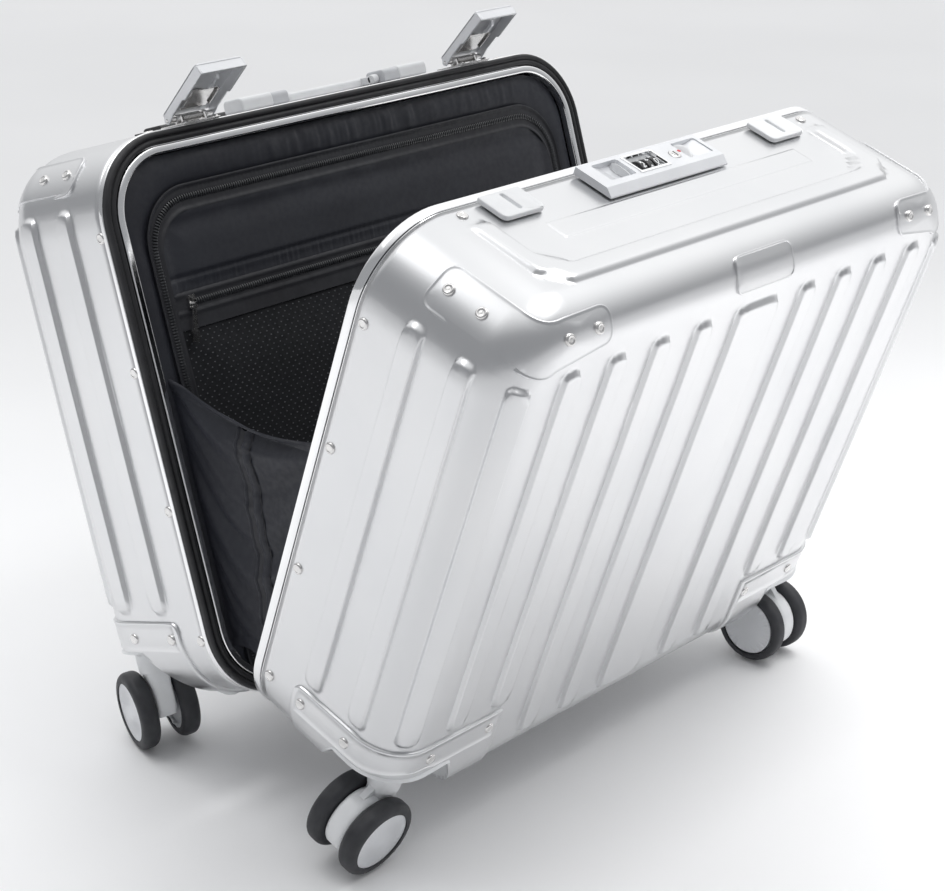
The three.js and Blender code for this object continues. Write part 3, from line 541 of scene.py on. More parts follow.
def ribs_at(spot, half, side_ribs, corner_rib):
    """The pressed ribs' height at a spot of the shell."""
    height = 0.0
    z = spot.point.z
    if spot.reach <= FLAT_REACH:
        for centre, width, foot in FRONT_FACE_RIBS:
            gap = abs(spot.x - centre) - width / 2
            if gap < 3:
                height = max(height, float(rib_height(gap, max(z - RIB_TOP, foot - z))))
    elif spot.over_x > spot.over_z:
        past = max(spot.level - RIB_TOP, SHORT_RIB_FOOT - spot.level)
        for centre in (corner_rib, *side_ribs):
            gap = abs(spot.reach - centre) - RIB_WIDTH / 2
            if gap < 3:
                height = max(height, float(rib_height(gap, past)))
    on_top_wall = spot.top > 0 and spot.over_z >= spot.over_x and spot.over_z > FLAT_REACH + FILLET - 12
    if half == "front" and on_top_wall:
        depth = DEPTH[half]
        height = max(height, float(top_rib_height(spot.x, depth - spot.y, depth)))
    return height


def in_cut_away(half, point):
    """Whether the sheet is cut away there, for a caster pocket or for the fitting let into the top."""
    from_axis = math.hypot(abs(point.x) - CASTER.x, point.y - CASTER.y)
    if point.z < POCKET_CUT_TOP and from_axis < pocket_radius(point.z) + POCKET_CUT_MARGIN:
        return True
    return any(x0 < point.x < x1 and y0 < point.y < y1 and point.z > HEIGHT - TOP_CUT_DEPTH
               for x0, x1, y0, y1 in SHELL_OPENINGS[half])


def shell_piece(half):
    depth = DEPTH[half]
    across, upward, end, side_ribs, corner_rib = shell_surface(half)
    verts, kept = [], []
    for b in upward:
        for a in across:
            spot = SheetSpot(depth, a, b)
            wave = 0.22 * noise.noise(spot.point * 0.016) * float(smoothstep((end - spot.reach) / 30))
            place = spot.point + spot.normal * (ribs_at(spot, half, side_ribs, corner_rib) + wave)
            verts.append(place)
            kept.append(not in_cut_away(half, place))
    faces = [face for face in grid_faces(len(upward) - 1, len(across) - 1) if all(kept[c] for c in face)]
    piece = add_piece(f"{half}_pressed_shell", *without_loose(verts, faces), HALF[half],
                      "satin_aluminium", f"{half}_half", replaces=[f"{half}_shell"], sharp=60)
    face_out(piece, HALF[half].to_3x3() @ Vector((0, 1, 0)))
    sheet = piece.modifiers.new("sheet", "SOLIDIFY")
    sheet.thickness = SHEET * MM
    sheet.offset = -1
    return piece


def without_loose(verts, faces):
    """The same surface without the points that no face uses."""
    used = sorted({corner for face in faces for corner in face})
    place = {corner: i for i, corner in enumerate(used)}
    return [verts[corner] for corner in used], [tuple(place[corner] for corner in face) for face in faces]


def face_out(piece, direction):
    """Turns an open sheet so that most of it faces the given way."""
    total = sum(polygon.normal.dot(direction) * polygon.area for polygon in piece.data.polygons)
    if total < 0:
        piece.data.flip_normals()


FRONT_FACE_RIBS = [(0.0, CENTRE_RIB_WIDTH, LONG_RIB_FOOT)]
FRONT_FACE_RIBS += [(x, RIB_WIDTH, LONG_RIB_FOOT if i < 2 else SHORT_RIB_FOOT)
                    for i, x in enumerate(FACE_RIBS)]
POCKET_TOP, POCKET_RADIUS, POCKET_FLARE = 38.0, 36.0, 1 / 3
POCKET_CUT_TOP, POCKET_CUT_MARGIN, TOP_CUT_DEPTH = 52.0, 7.0, 6.0
SHEET = 1.1
# (x0, x1, y0, y1) on the top: the trolley handle's bezel and the lock's well
SHELL_OPENINGS = {"back": [(-102, 102, 86, 109)], "front": [(-6, 22, 11, 30)]}


def pocket_radius(z):
    """The conical caster pocket's radius at a height."""
    return POCKET_RADIUS + POCKET_FLARE * (POCKET_TOP - z)


for half in ("back", "front"):
    shell_piece(half)


# ---- rims and seal, swept round the outline ----
def swept(profile, steps=16):
    """A closed (inset, y) section carried round the case's outline."""
    places = []
    for side, top, start in ((1, 1, 0), (-1, 1, 90), (-1, -1, 180), (1, -1, 270)):
        for k in range(steps + 1):
            angle = math.radians(start + 90 * k / steps)
            places.append((side * CORNER_X, top * CORNER_Z, math.cos(angle), math.sin(angle)))
    verts, faces = [], []
    for x, z, cos, sin in places:
        for inset, y in profile:
            radius = CORNER_RADIUS - inset
            verts.append((x + radius * cos, y, HEIGHT / 2 + z + radius * sin))
    rows, count = len(places), len(profile)
    for i in range(rows):
        for j in range(count):
            near, far = i * count, ((i + 1) % rows) * count
            faces.append((near + j, near + (j + 1) % count, far + (j + 1) % count, far + j))
    return verts, faces


def arc(centre, radius, start, end, steps=5):
    return [(centre[0] + radius * math.cos(math.radians(start + (end - start) * k / steps)),
             centre[1] + radius * math.sin(math.radians(start + (end - start) * k / steps)))
            for k in range(steps + 1)]


def rims():
    lip = arc((12.6, 1.55), 1.4, 0, -90) + arc((9.9, 1.35), 1.2, -90, -180)
    lip = [(14.0, 8.0)] + lip + [(8.7, 4.5), (0.4, 4.5)] + arc((0.0, 5.1), 0.6, -90, -180, 3)
    lip += [(-0.6, 7.6), (0.3, 8.0)]
    add_piece("back_frame_rim", *swept(lip), HALF["back"], "polished_aluminium", "back_half",
              replaces=["back_rim"])
    beads = [(0.0, 4.3)] + arc((2.1, 2.2), 2.05, 180, 330, 8) + [(4.2, 1.5)]
    beads += arc((6.25, 2.2), 2.0, 210, 360, 8) + [(8.3, 4.3)]
    add_piece("rim_seal_beads", *swept(beads), HALF["back"], "black_seal", "back_half",
              replaces=["rim_seal"])
    band = [(12.0, 8.0)] + arc((10.8, 1.35), 1.2, 0, -90, 3) + arc((1.4, 2.15), 2.0, -90, -180, 6)
    band += [(-0.6, 6.2), (-0.35, 7.0), (0.7, 7.25), (1.0, 8.0)]
    add_piece("front_frame_rim", *swept(band), HALF["front"], "polished_aluminium", "front_half",
              replaces=["front_rim"])
    seam = [(1.1, 7.0), (2.2, 7.0), (2.2, 9.5), (0.9, 9.5), (0.9, 8.2)]
    add_piece("front_rim_gasket", *swept(seam), HALF["front"], "black_seal", "front_half")


rims()


# ---- plates that follow the shell ----
# each level is (how far in from the outline, how much of the plate's height), both as shares
LIP_LEVELS = ((0.0, 0.0), (0.0, 0.55), (0.3, 0.85), (1.0, 1.0))
GUARD_LEVELS = ((0.0, 0.0), (0.0, 0.6), (0.25, 0.92), (0.6, 1.0), (1.0, 0.96), (1.7, 0.76), (2.3, 0.74))


def plate_part(outline_points, mapper, height, edge=1.0, spacing=4.0, levels=LIP_LEVELS):
    """A closed plate over an outline in the sheet's own (around, along) plane, with a rounded edge."""
    count = len(outline_points)
    area = sum(outline_points[i - 1][0] * p[1] - p[0] * outline_points[i - 1][1]
               for i, p in enumerate(outline_points))
    if area < 0:
        outline_points = list(reversed(outline_points))
    points = [Vector(p) for p in outline_points]
    inward = []
    for i in range(count):
        tangent = (points[(i + 1) % count] - points[i - 1]).normalized()
        inward.append(Vector((-tangent.y, tangent.x)))
    rings = [[(p + n * share * edge, rise * height) for p, n in zip(points, inward)]
             for share, rise in levels]
    last = [p for p, _ in rings[-1]]
    low = Vector((min(p.x for p in last), min(p.y for p in last)))
    high = Vector((max(p.x for p in last), max(p.y for p in last)))
    fill = []
    rows = int((high.y - low.y) / spacing) + 1
    columns = int((high.x - low.x) / spacing) + 1
    for j in range(rows + 1):
        for i in range(columns + 1):
            point = low + Vector(((i + 0.5 * (j % 2)) * spacing, j * spacing))
            if is_inside(point, last) and min((point - p).length for p in last) > spacing * 0.45:
                fill.append(point)
    seeds = last + fill
    ids = list(range(count))
    flat_verts, _, flat_faces, *_ = delaunay_2d_cdt(seeds, [], [ids], 1, 1e-6)
    verts, faces = [], []
    for ring in rings[:-1]:
        verts += [mapper(p.x, p.y, rise) for p, rise in ring]
    start = len(verts)
    verts += [mapper(p.x, p.y, height * levels[-1][1]) for p in flat_verts]
    for r in range(len(rings) - 1):
        for i in range(count):
            j = (i + 1) % count
            faces.append((r * count + i, r * count + j, (r + 1) * count + j, (r + 1) * count + i))
    faces += [tuple(start + i for i in face) for face in flat_faces]
    under = len(verts)
    verts += [mapper(p.x, p.y, -0.4) for p in points]
    faces += [(under + i, under + (i + 1) % count, (i + 1) % count, i) for i in range(count)]
    return verts, faces


def is_inside(point, polygon):
    inside = False
    for i, a in enumerate(polygon):
        b = polygon[i - 1]
        if (a.y > point.y) != (b.y > point.y):
            if point.x < (b.x - a.x) * (point.y - a.y) / (b.y - a.y) + a.x:
                inside = not inside
    return inside


HALF_ARC = CORNER_RADIUS * math.pi / 4


def corner_mapper(depth, side, top):
    return lambda around, along, height: skin_point(depth, side, top, around, along, height)


def along_at(angle):
    """Distance over the edge fillet for a surface that has turned that many degrees off the flat face."""
    return EDGE_RADIUS * math.radians(angle)


PLATE_NEAR, PLATE_FAR = along_at(6.6), along_at(54)
GUARD_PAST_CORNER, GUARD_FROM_FACE = 27.5, 78
GUARD_ARM_TOP, GUARD_ARM_FOOT = -14.8, 15.4
GUARD_RADII = [9, 20, 9, 9, 16, 9]


def corner_guards():
    """L-shaped plates: one arm lies along the top edge, the other runs back over the corner."""
    tip = -HALF_ARC - GUARD_PAST_CORNER
    arm_end = FILLET + GUARD_FROM_FACE - EDGE_RADIUS
    for half in ("back", "front"):
        depth = DEPTH[half]
        for side in (-1, 1):
            outline_points = rounded(
                [(tip, PLATE_NEAR), (GUARD_ARM_FOOT, PLATE_NEAR), (GUARD_ARM_FOOT, arm_end),
                 (GUARD_ARM_TOP, arm_end), (GUARD_ARM_TOP, PLATE_FAR), (tip, PLATE_FAR)], GUARD_RADII, 8)
            part = plate_part(outline_points, corner_mapper(depth, side, 1), PLATE, 1.1, 3.2, GUARD_LEVELS)
            hand = world_side(half, side)
            add_piece(f"{half}_{hand}_guard_plate", *part, HALF[half], "satin_aluminium", f"{half}_half",
                      replaces=[f"corner_guard_{half}_{hand}"])


corner_guards()


# ---- rivets ----
def rivet_part(radius=3.7, dome=1.35):
    profile = [(radius, -0.6), (radius, 0.25), (radius * 0.93, dome * 0.62), (radius * 0.72, dome),
               (radius * 0.60, dome * 0.93), (radius * 0.52, dome * 0.80), (radius * 0.30, dome * 0.84),
               (0.01, dome * 0.86)]
    return lathe(profile, 20)


def rivet_at(point, normal):
    turn = Vector(normal).to_track_quat("Z", "Y").to_matrix().to_4x4()
    return moved(rivet_part(), Matrix.Translation(point) @ turn)


def skin_rivet(depth, side, top, around, along, height):
    base = skin_point(depth, side, top, around, along, height)
    tip = skin_point(depth, side, top, around, along, height + 1)
    return rivet_at(base, tip - base)


WALL_RIVET_HEIGHTS = (308.6, 223.3, 133.9, 48.5)
WALL_RIVETS_FROM_RIM = {"back": 10.8, "front": 15.1}
GUARD_RIVETS_FROM_FACE = (42, 67)
GUARD_RIVETS_X, GUARD_RIVETS_ANGLE = (185, 157.5), 30
TOP_RIVET_X, TOP_RIVET_FROM_RIM = 166, 16


def rivets():
    for half in ("back", "front"):
        depth = DEPTH[half]
        rim_line = depth - WALL_RIVETS_FROM_RIM[half]
        top_line = FILLET + depth - TOP_RIVET_FROM_RIM - EDGE_RADIUS
        parts = []
        for side in (-1, 1):
            for z in WALL_RIVET_HEIGHTS:
                around = HALF_ARC + CORNER_Z + HEIGHT / 2 - z
                parts.append(skin_rivet(depth, side, 1, around, FILLET + rim_line - EDGE_RADIUS, 0))
            for from_face in GUARD_RIVETS_FROM_FACE:
                parts.append(skin_rivet(depth, side, 1, 0, FILLET + from_face - EDGE_RADIUS, PLATE))
            for x in GUARD_RIVETS_X:
                around = -HALF_ARC - CORNER_X + x
                parts.append(skin_rivet(depth, side, 1, around, along_at(GUARD_RIVETS_ANGLE), PLATE))
            parts.append(skin_rivet(depth, side, 1, -HALF_ARC - CORNER_X + TOP_RIVET_X, top_line, 0))
        add_piece(f"{half}_rivets", *gather(*parts), HALF[half], "steel", f"{half}_half", sharp=50)


rivets()


BADGE_HALF = 29
BADGE_LEVELS = ((0.0, 0.0), (0.0, 0.7), (0.35, 1.0), (1.1, 1.0), (1.5, 0.6), (2.0, 0.55))


def badge_plate():
    """A blank plate with a raised border, on the front shell's top edge."""
    reach = -HALF_ARC - CORNER_X
    outline_points = rounded_box(reach - BADGE_HALF, reach + BADGE_HALF, PLATE_NEAR, PLATE_FAR, 7, 8)
    part = plate_part(outline_points, corner_mapper(DEPTH["front"], 1, 1), 1.5, 1.1, 4.0, BADGE_LEVELS)
    add_piece("blank_badge_plate", *part, HALF["front"], "satin_aluminium", "front_half",
              replaces=["badge_plate"])


badge_plate()


# ---- wheel housings ----
def applied(piece):
    """The piece with its modifiers worked into its mesh."""
    bpy.context.view_layer.update()
    whole = bpy.data.meshes.new_from_object(piece.evaluated_get(bpy.context.evaluated_depsgraph_get()))
    piece.modifiers.clear()
    piece.data = whole
    return piece


def cut_away(piece, *parts, matrix):
    """Cuts closed parts, given in the piece's own local frame, out of a finished piece."""
    for verts, faces in parts:
        mesh = bpy.data.meshes.new("cutter")
        mesh.from_pydata([tuple(matrix @ Vector(v)) for v in verts], [], faces)
        tidy = bmesh.new()
        tidy.from_mesh(mesh)
        bmesh.ops.recalc_face_normals(tidy, faces=tidy.faces)
        tidy.to_mesh(mesh)
        tidy.free()
        cutter = bpy.data.objects.new("cutter", mesh)
        scene.collection.objects.link(cutter)
        cut = piece.modifiers.new("cut", "BOOLEAN")
        cut.operation = "DIFFERENCE"
        cut.solver = "EXACT"
        cut.object = cutter
        applied(piece)
        bpy.data.objects.remove(cutter)
    return piece


HOUSING_TOP, HOUSING_X_END, HOUSING_ARM = 61.0, 127.0, 85.0
HOUSING_SKIN = 1.9
PANEL_TOP, PANEL_FOOT, PANEL_END = 59.0, 41.0, 4.0
PANEL_RIVETS_X, PANEL_RIVETS_FROM_FACE = (189.3, 135.8), (37.0, 76.2)
PANEL_RIVET_HEIGHT, PANEL_RIVET_LIFT = 49.2, 1.3


def edge_lines(low, high, inner, step):
    """Lines close together at both ends, for the rounded edges, and at the inner stops."""
    ends = [low + k for k in (0, 0.15, 0.5, 1.1)] + [high - k for k in (0, 0.15, 0.5, 1.1)]
    for stop in inner:
        ends += [stop - 0.8, stop - 0.3, stop + 0.3, stop + 0.8]
    return grid_lines([low, high], [line for line in ends if low <= line <= high], step)


def housing_skin(half, side):
    """The moulded corner cap, with its recessed rivet panel, as a closed thick sheet."""
    depth = DEPTH[half]
    low_a, high_a = HOUSING_X_END - CORNER_X, reach_from_face(HOUSING_ARM)
    low_b = HEIGHT / 2 - HOUSING_TOP - CORNER_Z
    lines_a = edge_lines(low_a, high_a, [low_a + PANEL_END, high_a - PANEL_END], 4.0)
    panel_lines = [low_b + HOUSING_TOP - PANEL_TOP, low_b + HOUSING_TOP - PANEL_FOOT]
    lines_b = edge_lines(low_b, high_a, panel_lines, 4.0)
    corner = 7.0
    rows = []
    for b in lines_b:
        for a in lines_a:
            from_edge = min(a - low_a, high_a - a, b - low_b, high_a - b)
            lip = 1 - min(from_edge / 1.1, 1)
            rise = HOUSING_SKIN * math.sqrt(max(1 - lip * lip, 0))
            panel = min(a - low_a - PANEL_END, high_a - PANEL_END - a, b - panel_lines[0], panel_lines[1] - b)
            rise -= 0.55 * float(smoothstep(panel / 1.0))
            u, v = high_a - corner, low_b + corner
            if a > u and b < v:
                du, dv = square_to_disc(a - u, v - b)
                a_, b_ = u + du, v - dv
            else:
                a_, b_ = a, b
            rows.append((SheetSpot(depth, side * (a_ + CORNER_X), -(b_ + CORNER_Z)), rise))
    count = len(lines_a)
    verts = [spot.point + spot.normal * rise for spot, rise in rows]
    verts += [spot.point - spot.normal * 0.6 for spot, _ in rows]
    size = len(rows)
    faces = []
    for corners in grid_faces(len(lines_b) - 1, count - 1):
        faces.append(corners)
        faces.append(tuple(size + c for c in reversed(corners)))
    last = len(lines_b) - 1
    rim = list(range(count))
    rim += [j * count + count - 1 for j in range(1, last + 1)]
    rim += [last * count + i for i in range(count - 2, -1, -1)]
    rim += [j * count for j in range(last - 1, 0, -1)]
    for i, corner_id in enumerate(rim):
        after = rim[(i + 1) % len(rim)]
        faces.append((corner_id, after, after + size, corner_id + size))
    return verts, faces


def outside_shell(depth, point, grow):
    """How far a point lies outside the shell's own volume, grown all round."""
    dx = abs(point.x) - CORNER_X
    dz = abs(point.z - HEIGHT / 2) - CORNER_Z
    flat = math.hypot(max(dx, 0), max(dz, 0)) + min(max(dx, dz), 0) - FLAT_REACH
    deep = point.y - (depth - EDGE_RADIUS)
    if flat <= 0 or deep <= 0:
        return max(flat - EDGE_RADIUS, deep - EDGE_RADIUS) - grow
    return math.hypot(flat, deep) - EDGE_RADIUS - grow


def lowest_inside(test, low, high):
    """The lowest height between two at which a test of the height stops holding, to a hair."""
    for _ in range(22):
        middle = (low + high) / 2
        if test(middle):
            low = middle
        else:
            high = middle
    return (low + high) / 2


def pocket_cup(half, side, steps=64):
    """The conical pocket a caster turns in. Its wall runs down to wherever it leaves the housing, and
    where the pocket is wider than the case its roof stops at the case's own wall."""
    depth = DEPTH[half]
    grow = HOUSING_SKIN - 0.1
    verts, faces = [], []
    rows = 8
    for i in range(steps):
        angle = 2 * math.pi * i / steps
        way = Vector((math.cos(angle), math.sin(angle), 0))
        foot = Vector((side * CASTER.x, CASTER.y, 0))

        def at(radius, z):
            return foot + way * radius + Vector((0, 0, z))

        def roof_outside(less):
            return outside_shell(depth, at(POCKET_RADIUS - less, POCKET_TOP), grow) > 0

        def wall_outside(z):
            return outside_shell(depth, at(pocket_radius(z), z), grow) > 0

        reach = POCKET_RADIUS
        if roof_outside(0):
            reach = POCKET_RADIUS - lowest_inside(roof_outside, 0, POCKET_RADIUS)
            end = POCKET_TOP - 0.2
        else:
            end = lowest_inside(wall_outside, -4.0, POCKET_TOP)
        for k in range(rows + 1):
            z = POCKET_TOP + (end - POCKET_TOP) * k / rows
            verts.append(at(min(pocket_radius(z), reach + POCKET_TOP - z), z))
        for k in range(rows + 1):
            z = end + (POCKET_TOP + 1.6 - end) * k / rows
            verts.append(at(min(pocket_radius(z) + 1.6 * min(k, 1), reach + POCKET_TOP + 1.6 - z + 0.1), z))
        verts += [at(11.5, POCKET_TOP + 1.6), at(11.5, POCKET_TOP)]
    ring = 2 * (rows + 1) + 2
    for i in range(steps):
        near, far = i * ring, ((i + 1) % steps) * ring
        for k in range(ring):
            after = (k + 1) % ring
            faces.append((near + k, near + after, far + after, far + k))
    return verts, faces


def pocket_lip(half, side, steps=44):
    """The foot that stands below the case on the inner side of the pocket's mouth."""
    depth = DEPTH[half]
    inward = math.atan2(-0.8, -side)
    section = ((0.1, 0.3), (0.1, -0.75), (1.4, -1.0), (5.5, -1.0),
               (12.0, -0.62), (18.0, -0.28), (24.0, 0.05), (24.0, 0.3))
    reach = math.radians(50)
    verts = []
    for i in range(steps + 1):
        turn = -reach + 2 * reach * i / steps
        angle = inward + turn
        drop = 6.2 * float(smoothstep((reach - abs(turn)) / math.radians(26)))
        for extra, share in section:
            radius = pocket_radius(0) + extra
            x, y = side * CASTER.x + radius * math.cos(angle), CASTER.y + radius * math.sin(angle)
            base = lowest_inside(lambda z: outside_shell(depth, Vector((x, y, z)), 0.2) > 0, -3, 40)
            verts.append((x, y, base + share * (drop if share < 0 else 6)))
    return verts, tube_faces(steps, len(section))


def wheel_housings():
    for half in ("back", "front"):
        depth = DEPTH[half]
        for side in (-1, 1):
            hand = world_side(half, side)
            cap = add_piece(f"{half}_{hand}_wheel_housing", *housing_skin(half, side), HALF[half],
                            "satin_aluminium", f"{half}_half", replaces=[f"wheel_housing_{half}_{hand}"],
                            sharp=50)
            profile = [(0.01, POCKET_TOP), (POCKET_RADIUS, POCKET_TOP)]
            profile += [(pocket_radius(-14), -14), (0.01, -14)]
            cone = moved(lathe(profile, 56), Matrix.Translation((side * CASTER.x, CASTER.y, 0)))
            cut_away(cap, cone, matrix=HALF[half])
            cap.data.polygons.foreach_set("use_smooth", [True] * len(cap.data.polygons))
            cap.data.set_sharp_from_angle(angle=math.radians(42))
            add_piece(f"{half}_{hand}_caster_pocket", *gather(pocket_cup(half, side), pocket_lip(half, side)),
                      HALF[half], "white_plastic", f"{half}_half")
            parts = []
            across = [*PANEL_RIVETS_X, *(CORNER_X + reach_from_face(f) for f in PANEL_RIVETS_FROM_FACE)]
            for a in across:
                spot = SheetSpot(depth, side * a, -(HEIGHT / 2 - PANEL_RIVET_HEIGHT))
                parts.append(rivet_at(spot.point + spot.normal * PANEL_RIVET_LIFT, spot.normal))
            add_piece(f"{half}_{hand}_housing_rivets", *gather(*parts), HALF[half], "steel", f"{half}_half",
                      sharp=50)


wheel_housings()


# ---- casters ----
TRAIL, AXLE_Z, WHEEL_RADIUS, WHEEL_WIDTH, WHEEL_OFFSET = 13.0, -8.0, 27.0, 13.0, 14.5
FORK_HALF = 7.0


def caster_matrix(half, side, key):
    """The caster's own frame: its wheels trail to -X and its axle runs along Y, turned as packed."""
    axle = Vector(joints[f"roll_{key}_a"]["axis"])
    local = HALF[half].to_3x3().inverted() @ axle
    turn = math.atan2(-local.x, local.y)
    return HALF[half] @ Matrix.Translation((side * CASTER.x, CASTER.y, 0)) @ Matrix.Rotation(turn, 4, "Z")


def fender_part(inner, outer, start, end, half_width, steps=26):
    """A curved band about the axle with crowned outer face, from one angle to another."""
    across = [-1, -0.92, -0.7, -0.35, 0, 0.35, 0.7, 0.92, 1]
    verts = []
    for i in range(steps + 1):
        angle = math.radians(start + (end - start) * i / steps)
        fade = 1 - 0.1 * (abs(2 * i / steps - 1)) ** 4
        for share in across:
            crown = outer * fade - 1.4 * max(abs(share) - 0.6, 0) ** 2 / 0.16
            verts.append((-TRAIL + crown * math.cos(angle), share * half_width,
                          AXLE_Z + crown * math.sin(angle)))
        for share in (1, -1):
            verts.append((-TRAIL + inner * math.cos(angle), share * half_width,
                          AXLE_Z + inner * math.sin(angle)))
    return verts, tube_faces(steps, len(across) + 2)


def loft_z(sections):
    """A closed body through rounded rectangles (x0, x1, half_y, radius, z) stacked along Z."""
    verts = []
    for x0, x1, half_y, radius, z in sections:
        verts += [(x, y, z) for x, y in rounded_box(x0, x1, -half_y, half_y, radius)]
    return verts, tube_faces(len(sections) - 1, len(verts) // len(sections))


def fork_part():
    collar = lathe([(5.2, 41), (5.2, 37.2), (10.6, 37.0), (10.6, 33.5), (10.1, 33.2),
                    (10.1, 31.6), (10.7, 31.2), (10.9, 26.0), (10.5, 18.0), (0.01, 17.5)], 36)
    neck = loft_z([(-9.5, 9.8, 9.2, 9.0, 20), (-9.8, 9.9, 8.0, 7.4, 15), (-11.5, 9.6, 7.0, 5.2, 8),
                   (-13.0, 9.0, 6.9, 3.4, 0), (-14.0, 8.2, 6.8, 3.0, -8), (-14.0, 5.0, 6.6, 3.0, -14)])
    fender = fender_part(15.5, 23.6, 62, 214, FORK_HALF)
    core = fender_part(4.0, 16.5, 20, 232, FORK_HALF - 1.6, 30)
    rib = prism([(-19, 14.4), (-9.8, 20.5), (-9.8, 14.5), (-17, 12.6)], "y", -2.4, 2.4)
    return gather(collar, neck, fender, core, rib)


def tyre_part():
    """A rubber tyre with a rounded shoulder, about the wheel's own axle along Z."""
    half = WHEEL_WIDTH / 2
    shoulder = 4.6
    outer = arc((WHEEL_RADIUS - shoulder, half - shoulder), shoulder, 90, 0, 7)
    inner = arc((WHEEL_RADIUS - shoulder, -half + shoulder), shoulder, 0, -90, 7)
    profile = [(21.4, half - 1.2), (21.6, half)] + outer + inner + [(20.6, -half), (20.4, -half + 1.5)]
    return lathe(profile, 56, closed=True)


def disc_part(outward, grooves=40):
    """The pale disc with its curved grooves, a little proud in the middle."""
    half = WHEEL_WIDTH / 2
    rings = (0.01, 3.0, 5.2, 8.0, 11.0, 14.0, 17.0, 19.2, 19.8, 20.4, 21.2)
    steps = grooves * 6
    verts, faces = [], []
    for i in range(steps):
        angle = 2 * math.pi * i / steps
        for k, radius in enumerate(rings):
            crown = half - 0.9 + 1.0 * (1 - (radius / 21.2) ** 2)
            cut = 0.0
            if 2 <= k <= 7:
                twist = 0.085 * radius
                cut = 0.42 * (0.5 + 0.5 * math.cos(grooves * (angle + twist))) * min((radius - 4.0) / 6.0, 1)
            if k >= 9:
                crown = half - (0.9 if k == 9 else 3.0)
            verts.append((radius * math.cos(angle), radius * math.sin(angle), outward * (crown - cut)))
    count = len(rings)
    for i in range(steps):
        for k in range(count - 1):
            a, b = i * count + k, ((i + 1) % steps) * count + k
            faces.append((a, a + 1, b + 1, b))
    return verts, faces


def hub_part(outward):
    """The wheel's inner side: a grey web with lugs that face the fork."""
    half = WHEEL_WIDTH / 2
    web = lathe([(4.4, half - 3), (4.4, -half + 0.4), (8.0, -half + 0.2), (9.0, -half + 2.4),
                 (17.0, -half + 2.4), (18.2, -half + 0.9), (20.3, -half + 0.9), (20.8, half - 3)],
                40, closed=True)
    lugs = []
    for k in range(16):
        lug = block(17.0, 20.2, -1.5, 1.5, -half + 0.5, -half + 1.6)
        lugs.append(moved(lug, Matrix.Rotation(2 * math.pi * k / 16, 4, "Z")))
    part = gather(web, *lugs)
    return moved(part, Matrix.Scale(outward, 4, (0, 0, 1)))


def casters():
    for half in ("back", "front"):
        for side in (-1, 1):
            key = f"{half}_{world_side(half, side)}"
            place = caster_matrix(half, side, key)
            fork = add_piece(f"{key}_fork", *fork_part(), place, "white_plastic", f"caster_{key}",
                             replaces=[f"caster_fork_{key}"])
            bevelled(fork, 0.5, 2, 50)
            pin = lathe([(3.5, -15), (3.5, 15)], 24)
            spacer = lathe([(5.6, -8.0), (5.6, 8.0)], 24)
            turn = Matrix.Translation((-TRAIL, 0, AXLE_Z)) @ Matrix.Rotation(math.pi / 2, 4, "X")
            add_piece(f"{key}_axle", *gather(moved(pin, turn), moved(spacer, turn)), place, "steel",
                      f"caster_{key}", replaces=[f"caster_axle_{key}"])
            for end, sign in (("a", 1), ("b", -1)):
                axle_end = Matrix.Translation((-TRAIL, sign * WHEEL_OFFSET, AXLE_Z))
                hub = place @ axle_end @ Matrix.Rotation(-math.pi / 2, 4, "X")
                wheel = f"wheel_{key}_{end}"
                tyre = add_piece(f"{key}_tyre_{end}", *tyre_part(), hub, "tyre", wheel, replaces=[wheel],
                                 sharp=60)
                face_out(tyre, Vector((0, 0, 0)))
                add_piece(f"{key}_disc_{end}", *disc_part(sign), hub, "satin_diecast", wheel, sharp=50)
                add_piece(f"{key}_hub_{end}", *hub_part(sign), hub, "grey_plastic", wheel)


casters()


# ---- draw latches ----
LATCH_X = 130.0
PIVOT_Y, PIVOT_Z = 15.5, 370.0
LEVER_OPEN = math.radians(31)
LEVER_TIP = PIVOT_Y - 49.5
LEVER_TOP = DECK + 9.4
LEVER_FOOT = DECK + 1.4
LEVER_HALF = 19.4


def lever_wall(x0, x1):
    """One side wall of the lever, stepped down twice towards its pivot."""
    foot, top = LEVER_FOOT, LEVER_TOP
    points = [(LEVER_TIP + 0.6, foot), (LEVER_TIP, top - 2), (LEVER_TIP + 2, top), (PIVOT_Y - 1, top),
              (PIVOT_Y + 2.7, PIVOT_Z + 1.3), (PIVOT_Y + 2.7, PIVOT_Z - 0.6), (PIVOT_Y + 1.2, PIVOT_Z - 2.2),
              (PIVOT_Y - 4, PIVOT_Z - 1.8), (PIVOT_Y - 8, PIVOT_Z - 1.0), (PIVOT_Y - 9.5, foot + 1.6),
              (PIVOT_Y - 22, foot + 1.6), (PIVOT_Y - 23.5, foot)]
    return prism(points, "x", x0, x1)


def lever_parts():
    inner = LEVER_HALF - 1.6
    edge = rounded_box(-LEVER_HALF, LEVER_HALF, LEVER_TIP, PIVOT_Y + 1, [2.6, 2.6, 1.2, 1.2], 5)
    back = prism(edge, "z", LEVER_TOP - 1.6, LEVER_TOP)
    end = block(-inner - 0.4, inner + 0.4, LEVER_TIP + 0.3, LEVER_TIP + 1.9, LEVER_FOOT, LEVER_TOP - 1)
    return gather(back, end, lever_wall(-LEVER_HALF, -inner), lever_wall(inner, LEVER_HALF))


